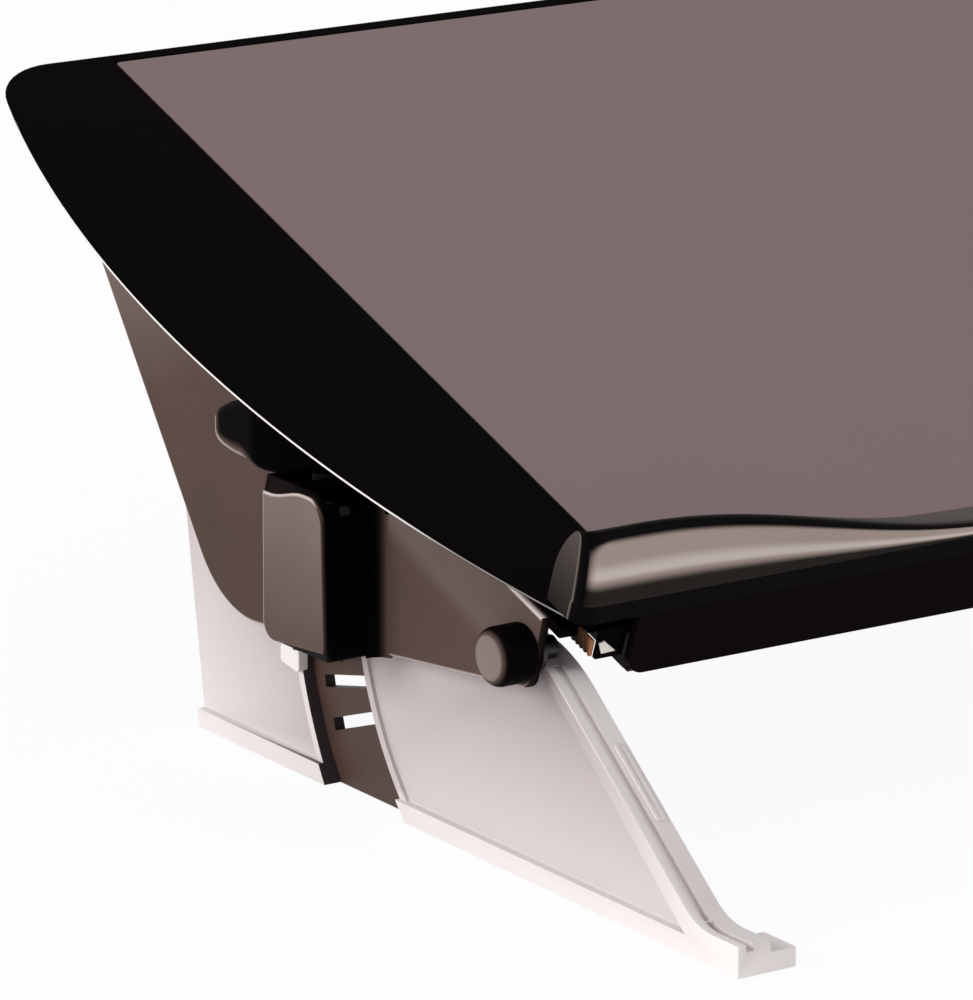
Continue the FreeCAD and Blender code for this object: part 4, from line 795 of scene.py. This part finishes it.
def makeCover(side):
    place = sides[side] @ slopeFrame
    outline = roundedOutline([
        (cover["front"], cover["nose"], cover["noseRound"])] + coverWindow() + [
        (cover["lowBack"], cover["low"], cover["lowRound"]),
        (cover["rear"], cover["top"], 1.5), (cover["frontTop"], cover["top"], cover["topRound"])], 10)
    edge = cover["edge"]
    outer, inner = -cover["outer"], -cover["outer"] + cover["wall"]
    levels = [(edge, outer), (edge * 0.4, outer + edge * 0.12), (edge * 0.12, outer + edge * 0.4),
              (0.0, outer + edge), (0.0, inner)]
    makePiece(side + "_cover_skin", stackLoops(insetLoops(outline, levels)), place, charcoalAbs, "frame",
              side + "_side_cover", tone=coverTone, angle=35)
    shelf = block((inner - 0.5, cover["shelfFront"], cover["shelfLow"]),
                  (-cover["shelfInner"], cover["shelfRear"], cover["top"]))
    makePiece(side + "_cover_shelf", shelf, place, charcoalAbs, "frame", width=0.5)
    # a skirt hangs from the front of the shelf, inside the leg's flange
    front, rear, low = cover["skirtFront"], cover["skirtRear"], cover["skirtLow"]
    x = -cover["skirtOuter"]
    outline = roundedOutline([(front, low, 0.8), (rear - 5, low + 0.8, 1.0), (rear, cover["top"], 0),
                              (front, cover["top"], 0.5)], 4)
    skirt = stackLoops([[(x + cover["skirtWall"] * share, p.x, p.y) for p in outline] for share in (0, 1)])
    makePiece(side + "_cover_skirt", skirt, place, charcoalAbs, "frame", width=0.25)


def makeLug(side):
    # the lug around the lever's pin, with its web down to the cover
    root, line, radius = -cover["outer"] + 0.5, -cover["pinLine"], cover["lugRadius"]
    outline = roundedOutline([(root, cover["lugFoot"], 0), (root, radius, 0),
                              (line - radius, radius, radius * 0.98),
                              (line - radius, -radius, radius * 0.8)], 8)
    front, rear, edge = cover["lugFront"], cover["lugRear"], 0.4
    levels = [(edge, front), (0.0, front + edge), (0.0, rear - edge), (edge, rear)]
    makePiece(side + "_cover_lug", stackLoops(insetLoops(outline, levels, axis=1)),
              sides[side] @ leverFrame, charcoalAbs, "frame", angle=35)


def fairingReach(a):
    # how far the fairing stands out, a behind the lever's pin
    rise = smoothStep(fairing["fallStart"], fairing["fallEnd"], a)
    reach = between(fairing["frontLift"], fairing["reach"], rise)
    return reach * roundedFall((a - fairing["roundStart"]) / (fairing["tip"] - fairing["roundStart"]),
                               fairing["roundPower"])


def fairingTone(point, normal):
    # painted black shade, but for a painted lit crescent where the nose turns away to the back and down
    turned = 0.83 * normal.y - 0.35 * normal.x - 0.45 * normal.z
    crescent = smoothStep(0.36, 0.62, turned)
    inNose = smoothStep(13, 20, point.y) * smoothStep(25, 19, point.z) * smoothStep(3, 6, point.z)
    return 1.35 * crescent * inNose


def makeFairing(side):
    tip, height = fairing["tip"], fairing["tipHeight"]
    slant = math.tan(slopeAngle)
    # the underside of the deck over the pin
    roof = (cover["top"] + fairing["roofRise"]) / math.cos(slopeAngle) - fairing["roofGap"]
    start = fairing["topStart"]
    stations = [fairing["front"] + (start - fairing["front"]) * step / 30 for step in range(31)]
    stations += [start + (tip - start) * math.sin(math.radians(4.5 * step)) for step in range(1, 21)]
    loops = []
    for a in stations:
        low = fairing["low"] + fairing["lowRise"] * smoothStep(6, fairing["lowStart"], a)
        if a > fairing["lowStart"]:
            share = (a - fairing["lowStart"]) / (tip - fairing["lowStart"])
            low = between(height, low, roundedFall(share, fairing["lowPower"]))
        high = roof + slant * a
        if a > start:
            top = roof + slant * start
            high = between(height, top, roundedFall((a - start) / (tip - start), fairing["topPower"]))
        high = max(high, low + 0.05)
        out = max(0.05, fairingReach(a))
        edge = between(fairing["edge"], fairing["noseEdge"], smoothStep(5, 20, a))
        edge = min(edge, (high - low) * 0.48, (out + 1.5) * 0.48)
        x = cover["outer"]
        skirt = 0.02 + fairing["skirt"] * smoothStep(21, 18, a)  # thin web on the cover, behind the lever
        web = min(fairing["skirtWall"], out * 0.3)
        edge = min(edge, (out - web) * 0.9)
        corners = [(x - 1.5, low - skirt, 0), (x - 1.5, high, 0), (x + out, high, edge * 0.5),
                   (x + out, low, edge), (x + web, low, 0), (x + web, low - skirt, 0)]
        outline = roundedOutline(corners[::-1], 8)
        loops.append([(-p.x, a, p.y) for p in outline])
    makePiece(side + "_fairing", stackLoops(loops), sides[side] @ leverFrame, charcoalAbs, "frame",
              tone=fairingTone, angle=60)


def makeStrip(side):
    # the fairing's front leg sweeps from the lever's front face down to the cover
    a, b, x = fairing["front"], fairing["stripRear"], -cover["outer"]
    lift = fairing["frontLift"]
    outline = [(x + 1, a), (x + 1, b), (x - lift, b)]
    for step in range(1, 9):
        turn = math.radians(90 * step / 8)
        outline.append((x - lift + (lift + 0.03) * math.sin(turn), a + (b - a) * math.cos(turn)))
    loops = [[(across, along, height) for across, along in outline]
             for height in (fairing["stripLow"], fairing["low"] + 2)]
    makePiece(side + "_fairing_leg", stackLoops(loops), sides[side] @ leverFrame, charcoalAbs, "frame",
              # painted black shade where the leg stands out, turning into the cover's painted brown where it
              # meets the cover at its front
              tone=lambda point, normal: smoothStep(b - 0.6, a + 0.1, point.y), angle=60)


for side in sides:
    makeCover(side)
    makeLug(side)
    makeFairing(side)
    makeStrip(side)
print("side covers made")


# the release levers
lever = {
    "outer": 262.0, "inner": 248.0, "aheadTop": -14.4, "ahead": -15.5, "behind": 14.3, "above": 4.5,
    "below": -38.8, "frontLow": -36.2, "faceRear": 0.5, "faceFront": 3.5, "topFront": 7.6, "lowRear": 4.8,
    "edge": 0.9, "wall": 2.2, "boss": 2.9, "bosses": ((7.75, -19.8), (7.75, -33.0)),
}


def leverOutline(lift):
    # seen from the side; the outer face's top edge dips to the rear, lift raises it to the full height
    top = between(lever["faceFront"], lever["above"], lift)
    frontLow = between(lever["frontLow"], lever["below"], lift)
    corners = [(lever["ahead"], frontLow, 1.8), (lever["behind"], lever["below"], lever["lowRear"])]
    for step in range(11):
        a = lever["behind"] - 0.3 + (-6.0 - lever["behind"]) * step / 10
        dip = between(lever["faceRear"], lever["faceFront"], smoothStep(11, -5, a))
        corners.append((a, between(dip, top, lift), 0))
    corners.append((lever["aheadTop"], top, lever["topFront"] * 0.9))
    return roundedOutline(corners, 8)


def leverTone(point, normal):
    # the plate is painted the palest of the charcoal mouldings and lighter towards its top, as painted light;
    # its top and rear edges carry a painted highlight, its inner faces and front edges painted shade
    across = point.x + lever["outer"]
    if across < 0.05:
        return 1.02 + 0.08 * smoothStep(-30, -8, point.z)
    if across > lever["edge"] * 0.5:
        return 0.1 * smoothStep(0.3, 0.9, -normal.x)
    rim = max(smoothStep(0.1, 0.5, normal.z), smoothStep(0.1, 0.6, normal.y))
    return 1.05 + 0.6 * rim - 0.8 * smoothStep(0.1, 0.5, -normal.y)


def makeLever(side):
    place = sides[side] @ leverFrame
    edge, outer, inner = lever["edge"], -lever["outer"], -lever["inner"]
    levels = [(edge, outer, 0), (edge * 0.42, outer + edge * 0.12, 0),
              (edge * 0.12, outer + edge * 0.42, 0), (0.0, outer + edge, 0), (0.0, outer + edge * 2, 1),
              (0.0, inner, 1)]
    loops = [[(x, p.x, p.y) for p in insetLoop(leverOutline(lift), inset)] for inset, x, lift in levels]
    piece = newPiece(side + "_lever_shell", stackLoops(loops), place, charcoalAbs)
    wall = lever["wall"]
    carve(piece, block((outer + wall, lever["ahead"] + wall + 0.6, lever["below"] + wall + 1.2),
                       (inner + 5, lever["behind"] - wall, lever["above"] + 5)), place)
    soften(piece, 0, angle=40)
    paintTone(piece, leverTone, place)
    finishPiece(piece, charcoalAbs, side + "_lever", side + "_release_lever")
    for name, centre in zip(("upper", "lower"), lever["bosses"]):
        rings = [ring(lever["boss"] - less, x, 24, centre)
                 for less, x in ((0, outer + wall - 0.5), (0, inner - 2), (0.4, inner - 1.6))]
        makePiece(f"{side}_lever_{name}_boss", stackLoops(rings), place, charcoalAbs, side + "_lever",
                  tone=0.1, angle=50)


for side in sides:
    makeLever(side)
print("levers made")


# the pivot knobs
knob = {"radius": 7.6, "outer": 255.5, "inner": 245.0, "round": 3.0}


def knobTone(point, normal):
    # the end face painted lit brown, fading over the rounded edge to a body of painted black shade
    return 1.14 * smoothStep(0.6, 0.98, -normal.x)


def makeKnob(side):
    radius, soft, outer = knob["radius"], knob["round"], knob["outer"]
    profile = [(0.3, outer), (2.2, outer - 0.02), (3.8, outer - 0.1)]
    profile += [(radius - soft + soft * math.sin(math.radians(turn)),
                 outer - 0.15 - soft + soft * math.cos(math.radians(turn))) for turn in range(5, 91, 10)]
    profile += [(radius, knob["inner"] + 0.8), (radius - 0.15, knob["inner"] + 0.3),
                (radius - 0.6, knob["inner"])]
    shape = stackLoops([ring(reach, -x, 48) for reach, x in profile])
    makePiece(side + "_knob_body", shape, sides[side] @ slopeFrame, charcoalAbs, "frame",
              side + "_pivot_knob", tone=knobTone, angle=50)


for side in sides:
    makeKnob(side)
print("knobs made")


# the frosted legs and their slot plates
leg = {
    "outer": 241.0, "panel": 238.5, "bead": 238.6, "groove": 236.4, "rimTop": 5.5, "rimFillet": 1.2,
    "slotRound": 1.3,
    "pivotBack": 85.6, "pivotHeight": 61.3, "windowIn": 85.0, "windowOut": 115.0, "windowBead": 2.4,
    "toeLength": 17.0, "toeHeight": 8.5, "bossRadius": 5.5,
    "shoulderRadius": 45.05, "shoulderBack": 101.72, "shoulderUp": 17.36,  # the arc of the leg's shoulder
    "tab": ((195.5, 27.5), (204.5, 34.0)),  # stop beside the top of the window
    "padStart": 31.0, "padEnd": 55.0, "padIn": 232.6, "padOut": 235.6,  # raised strip on the flange
    "padLift": 0.6,
}


def legTone(point, normal):
    # milky panel with painted light: lighter towards the front and under the wing, painted highlights on the
    # rims and bead, painted shade in the groove, on the boss and at the cut edge of the window
    radius = math.hypot(point.y - leg["pivotBack"], point.z - leg["pivotHeight"])
    if abs(radius - leg["windowOut"]) < 0.2 and -normal.x < 0.75 and point.z < 52:
        return 0.05
    if radius < leg["bossRadius"] + 0.2 and point.x < -leg["groove"] + 0.6:
        return 0.6
    onBead = leg["windowOut"] < radius < leg["windowOut"] + leg["windowBead"] + 0.2
    if onBead and point.x < -leg["panel"] - 0.6:
        return 1.6
    if -leg["bead"] + 0.15 < point.x < -leg["groove"] - 0.15 and point.y < 130:
        return 0.72
    rim = smoothStep(leg["outer"] - 1.3, leg["outer"] - 0.4, -point.x)
    band = 0.35 * smoothStep(leg["groove"] + 0.3, leg["groove"] - 0.3, -point.x)
    band *= smoothStep(140, 90, point.y)
    foot = 0.8 * smoothStep(leg["rimTop"] + 1.5, leg["rimTop"] - 0.5, point.z)
    panel = 1.0 + 0.45 * smoothStep(190, 100, point.y)
    panel += 0.4 * smoothStep(30, 60, point.z) * smoothStep(150, 110, point.y)
    return max(panel, 1.0 + max(0.8 * rim, band, foot)) + 0.2 * smoothStep(22, 12, point.y)


def softenLeg(shape, inverse):
    # wide fillets where the panel meets the base rim
    def alongRim(edge):
        first, second = (inverse @ vertex.co for vertex in edge.verts)
        level = abs(first.z - leg["rimTop"]) < 0.05 and abs(second.z - leg["rimTop"]) < 0.05
        return level and abs(abs(first.x) - leg["panel"]) < 0.05 and abs(first.x - second.x) < 0.05
    roundEdges(shape, alongRim, leg["rimFillet"])


def trimBoss(shape, place, name):
    # the boss for the pivot pin ends at the sweep of the shoulder
    radius, back, up = leg["shoulderRadius"], leg["shoulderBack"], leg["shoulderUp"]
    start, end = leg["pivotBack"] - leg["bossRadius"] - 2, leg["pivotBack"] + leg["bossRadius"] + 2
    outline = [(end, leg["pivotHeight"] + 9), (start, leg["pivotHeight"] + 9)]
    for step in range(13):
        y = start + (end - start) * step / 12
        outline.append((y, up + math.sqrt(radius ** 2 - (y - back) ** 2)))
    across = (-leg["outer"] - 1, -leg["groove"] + 0.8)
    cutter = stackLoops([[(x, y, z) for y, z in outline] for x in across])
    return carve(plainPiece(name, shape, frostedLeg), cutter, place)


def softenPlate(shape, inverse):
    # softens edges across the plate at the catch slots; in a render the slots still look square
    def slotCorner(edge):
        first, second = (inverse @ vertex.co for vertex in edge.verts)
        if abs(first.x - second.x) < 2.9 or abs(first.y - second.y) > 0.05:
            return False
        radius = math.hypot(first.y - leg["pivotBack"], first.z - leg["pivotHeight"])
        return leg["windowIn"] - 3.5 < radius < leg["windowOut"] - 2 and abs(radius - leg["windowIn"]) > 0.6
    roundEdges(shape, slotCorner, leg["slotRound"])


def makeFlangePad(side):
    # the raised strip on the outer band of the front flange, with a groove along it
    foot = Vector((leg["toeLength"], leg["toeHeight"]))
    along = (Vector((leg["pivotBack"], leg["pivotHeight"] + 0.5)) - foot).normalized()
    out = Vector((-along.y, along.x))
    corners = rectangle(leg["padStart"], -leg["padOut"], leg["padEnd"], -leg["padIn"], 1.0)
    outline = roundedOutline(corners, 4)
    loops = []
    for inset, lift in ((0.0, -0.3), (0.0, leg["padLift"] * 0.6), (0.25, leg["padLift"]),
                        (1.0, leg["padLift"]), (1.1, leg["padLift"] - 0.3)):
        loop = []
        for p in insetLoop(outline, inset):
            place = foot + along * p.x + out * lift
            loop.append((p.y, place.x, place.y))
        loops.append(loop)
    # tone 1.6 paints the strip near white, as a painted highlight
    makePiece(side + "_flange_strip", stackLoops(loops), sides[side] @ deskFrame, frostedLeg, "base",
              tone=1.6, angle=40)


def makeTab(side):
    (front, low), (rear, high) = leg["tab"]
    corners = [(front, low), (rear, low + 1.5), (rear, high), (front, high)]
    outline = roundedOutline([(y, z, 1.2) for y, z in corners], 4)
    outer = -leg["outer"]
    levels = [(0.0, -leg["panel"] + 0.3), (0.0, outer + 0.4), (0.15, outer + 0.1), (0.5, outer)]
    # tone 1.9 paints the tab near white, as a painted highlight
    makePiece(side + "_window_tab", stackLoops(insetLoops(outline, levels)), sides[side] @ deskFrame,
              frostedLeg, "base", tone=1.9, angle=50)


def makeLeg(side):
    place = sides[side] @ deskFrame
    shape = copyNode(side + "_leg")
    softenLeg(shape, place.inverted())
    piece = trimBoss(shape, place, side + "_leg_dressed")
    soften(piece, 0.45)
    paintTone(piece, legTone, place)
    finishPiece(piece, frostedLeg, "base", side + "_leg")


def plateTone(point, normal):
    # painted light: brown on the faces turned out to the side, painted shade on the others
    return 0.85 if abs(normal.x) > 0.6 else 0.1


for side in sides:
    place = sides[side] @ deskFrame
    makeLeg(side)
    makeTab(side)
    dressNode(side + "_slot_plate", "base", slotNylon, 0.25, plateTone, place, softenPlate)
    makeFlangePad(side)
dressNode("foot_pads", "base", footRubber, 0.4)
print("legs made")


# the steel inside, its plugs and runners
for side in sides:
    dressNode(side + "_rail", "frame", powderSteel, 0.3)
    dressNode(side + "_catch", side + "_lever", powderSteel, 0.2)
    for place in ("rear", "front"):
        dressNode(f"{side}_{place}_runner", "platform", naturalAcetal, 0.3)
for place in ("front", "rear"):
    dressNode(place + "_rail_caps", "frame", plugPolyethylene, 0.2, 0.0)
    dressNode(place + "_cross_tube", "frame", powderSteel, 0)

stops = {
    "outer": 237.7, "inner": 236.9, "front": -16.2, "rear": -2.0, "low": 7.8, "high": 12.4,
    "grooves": 8, "depth": 0.45, "lean": 2.6, "tone": 0.2, "darkRise": 0.27, "frontHighlight": 1.3,
    "endOuter": 232.8, "endInner": 224.6, "endLow": 3.6, "endHigh": 12.4, "endFront": -12.8,
    "padFront": -13.1, "pad": ((232.8, 8.6), (231.2, 9.0), (227.3, 5.6), (231.4, 5.4)),
}


def stopTone(point, normal):
    # brown, dark along the lower edge, with a painted highlight on its front edge
    if point.y < stops["front"] + 0.3:
        return stops["frontHighlight"]
    dark = stops["low"] + stops["darkRise"] * (point.y - stops["front"])
    return smoothStep(dark - 0.2, dark + 0.4, point.z) * stops["tone"]


def makeStops(side):
    # the ribbed stop on the skirt, the black end of the rail beside it and the pale pad on that
    place = sides[side] @ slopeFrame
    outer, inner, front, rear = -stops["outer"], -stops["inner"], stops["front"], stops["rear"]
    pitch = (rear - front) / stops["grooves"]
    profile = [(inner, front)]
    for at in range(stops["grooves"]):
        start = front + pitch * at
        for share, deep in ((0.05, 0), (0.5, 0), (0.65, stops["depth"]), (0.95, stops["depth"])):
            profile.append((outer + deep, start + pitch * share))
    profile.append((inner, rear))
    loops = []
    for step in range(7):
        share = step / 6
        height = between(stops["low"], stops["high"], share)
        loops.append([])
        for x, y in profile:
            lean = stops["lean"] * share * smoothStep(0, 1, (y - front) / pitch)
            loops[-1].append((x, y + lean, height))
    stop = makePiece(side + "_ribbed_stop", stackLoops(loops), place, plugPolyethylene, "frame",
                     tone=stopTone, angle=30)
    front = stops["endFront"]
    plate = block((-stops["endOuter"], front, stops["endLow"]),
                  (-stops["endInner"], front + 1.4, stops["endHigh"]))
    makePiece(side + "_rail_end", plate, place, charcoalAbs, "frame", width=0.3)
    loops = [[(-x, y, height) for x, height in stops["pad"]] for y in (stops["padFront"], front + 0.3)]
    makePiece(side + "_rail_end_pad", stackLoops(loops), place, naturalAcetal, "frame", tone=1.5)
    return stop


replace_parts(makeStops("left"), "cover_stops")
makeStops("right")

screws = {  # node: body, length of the shank, whether it lies across the slope
    "slot_plate_screws": ("base", 3.0, False), "rail_screws": ("frame", 2.0, True),
    "apron_screws": ("platform", 2.5, True),
    "left_catch_screws": ("left_lever", 1.5, False), "right_catch_screws": ("right_lever", 1.5, False),
}


def screwPlaces(node, acrossSlope):
    # the middle of each head's face and the way it looks, found on the node's separate solids
    shape = copyNode(node)
    waiting = set(shape.verts)
    tops, axes = [], []
    while waiting:
        reached = [waiting.pop()]
        for vertex in reached:
            fresh = {edge.other_vert(vertex) for edge in vertex.link_edges} & waiting
            waiting -= fresh
            reached += fresh
        points = [vertex.co for vertex in reached]
        axis = slopeFrame.to_3x3() @ Vector((0, 0, -1))
        if not acrossSlope:
            axis = Vector((1 if points[0].x < 0 else -1, 0, 0))
        axis.normalize()
        outermost = max(point.dot(axis) for point in points)
        face = [point for point in points if point.dot(axis) > outermost - 1e-5]
        low = Vector([min(point[at] for point in face) for at in range(3)])
        high = Vector([max(point[at] for point in face) for at in range(3)])
        tops.append((low + high) * 500)
        axes.append(axis)
    shape.free()
    return tops, axes


for node, (body, length, acrossSlope) in screws.items():
    tops, axes = screwPlaces(node, acrossSlope)
    piece = growPiece(node + "_heads", screwTree, tops, millimetres, zincSteel, axes, Length=length,
                      **screw)
    finishPiece(piece, zincSteel, body, node)

# small steel parts that stay as the CAD has them, in a better finish
kept = {
    powderSteel: ("pivot_washers", "left_pivot_pin", "right_pivot_pin", "left_lever_pin", "right_lever_pin"),
    springSteel: ("left_lever_spring", "right_lever_spring"),
}
for material, nodes in kept.items():
    for node in nodes:
        data = frame["nodes"][node].data
        data.materials.clear()
        data.materials.append(material)
print("steel made")


def makeStudio():
    size = studio["floorSize"] / 2
    mesh = bpy.data.meshes.new("studioFloor")
    mesh.from_pydata(rectangle(-size, -size, size, size, 0), [], [(0, 1, 2, 3)])
    addObject("studioFloor", mesh)
    material, tree, principled = newMaterial("StudioPaper", Roughness=0.9, Specular_IOR_Level=0.0)
    principled.inputs["Base Color"].default_value = linear(studio["floorColour"])
    output = next(node for node in tree.nodes if node.type == "OUTPUT_MATERIAL")
    paper = addNode(tree, "ShaderNodeEmission", Color=linear(studio["backdrop"]), Strength=1.0)
    share = addNode(tree, "ShaderNodeMath", {"operation": "MULTIPLY"},
                    n0=backdropRays(tree), n1=studio["paperShare"])
    mixed = addNode(tree, "ShaderNodeMixShader", n0=share, n1=principled, n2=paper)
    tree.links.new(mixed.outputs[0], output.inputs["Surface"])
    mesh.materials.append(material)

    world = bpy.data.worlds.new("studioWorld")
    bpy.context.scene.world = world
    world.use_nodes = True
    tree = world.node_tree
    tree.nodes.clear()
    soft = addNode(tree, "ShaderNodeBackground", Color=(1, 1, 1, 1), Strength=studio["skyStrength"])
    white = addNode(tree, "ShaderNodeBackground", Color=(1, 1, 1, 1), Strength=1.0)
    mixed = addNode(tree, "ShaderNodeMixShader", n0=backdropRays(tree), n1=soft, n2=white)
    addNode(tree, "ShaderNodeOutputWorld", Surface=mixed)


def backdropRays(tree):
    # 1 for what is seen straight, in a reflection or through the frosted plastic
    rays = addNode(tree, "ShaderNodeLightPath")
    seen = rays.outputs["Is Camera Ray"]
    for name in ("Is Glossy Ray", "Is Transmission Ray"):
        seen = addNode(tree, "ShaderNodeMath", {"operation": "MAXIMUM"}, n0=seen, n1=rays.outputs[name])
    return seen


def addLamp(name, place, size, power):
    light = bpy.data.lights.new(name, "AREA")
    light.shape = "RECTANGLE"
    light.size, light.size_y = size
    light.energy = power
    lamp = addObject(name, light)
    lamp.location = place
    away = Vector(studio["lampAim"]) - Vector(place)
    lamp.rotation_euler = away.to_track_quat("-Z", "Y").to_euler()


def makeCamera():
    data = bpy.data.cameras.new("productCamera")
    data.lens = camera["lens"]
    data.sensor_width = camera["sensor"]
    data.clip_end = camera["clipEnd"]
    eye = addObject("productCamera", data)
    eye.location = camera["place"]
    eye.rotation_euler = [math.radians(angle) for angle in camera["turn"]]
    bpy.context.scene.camera = eye


makeStudio()
for name, values in studio["lamps"].items():
    addLamp(name, *values)
makeCamera()
bpy.context.scene.view_settings.view_transform = "Standard"
print("studio made")
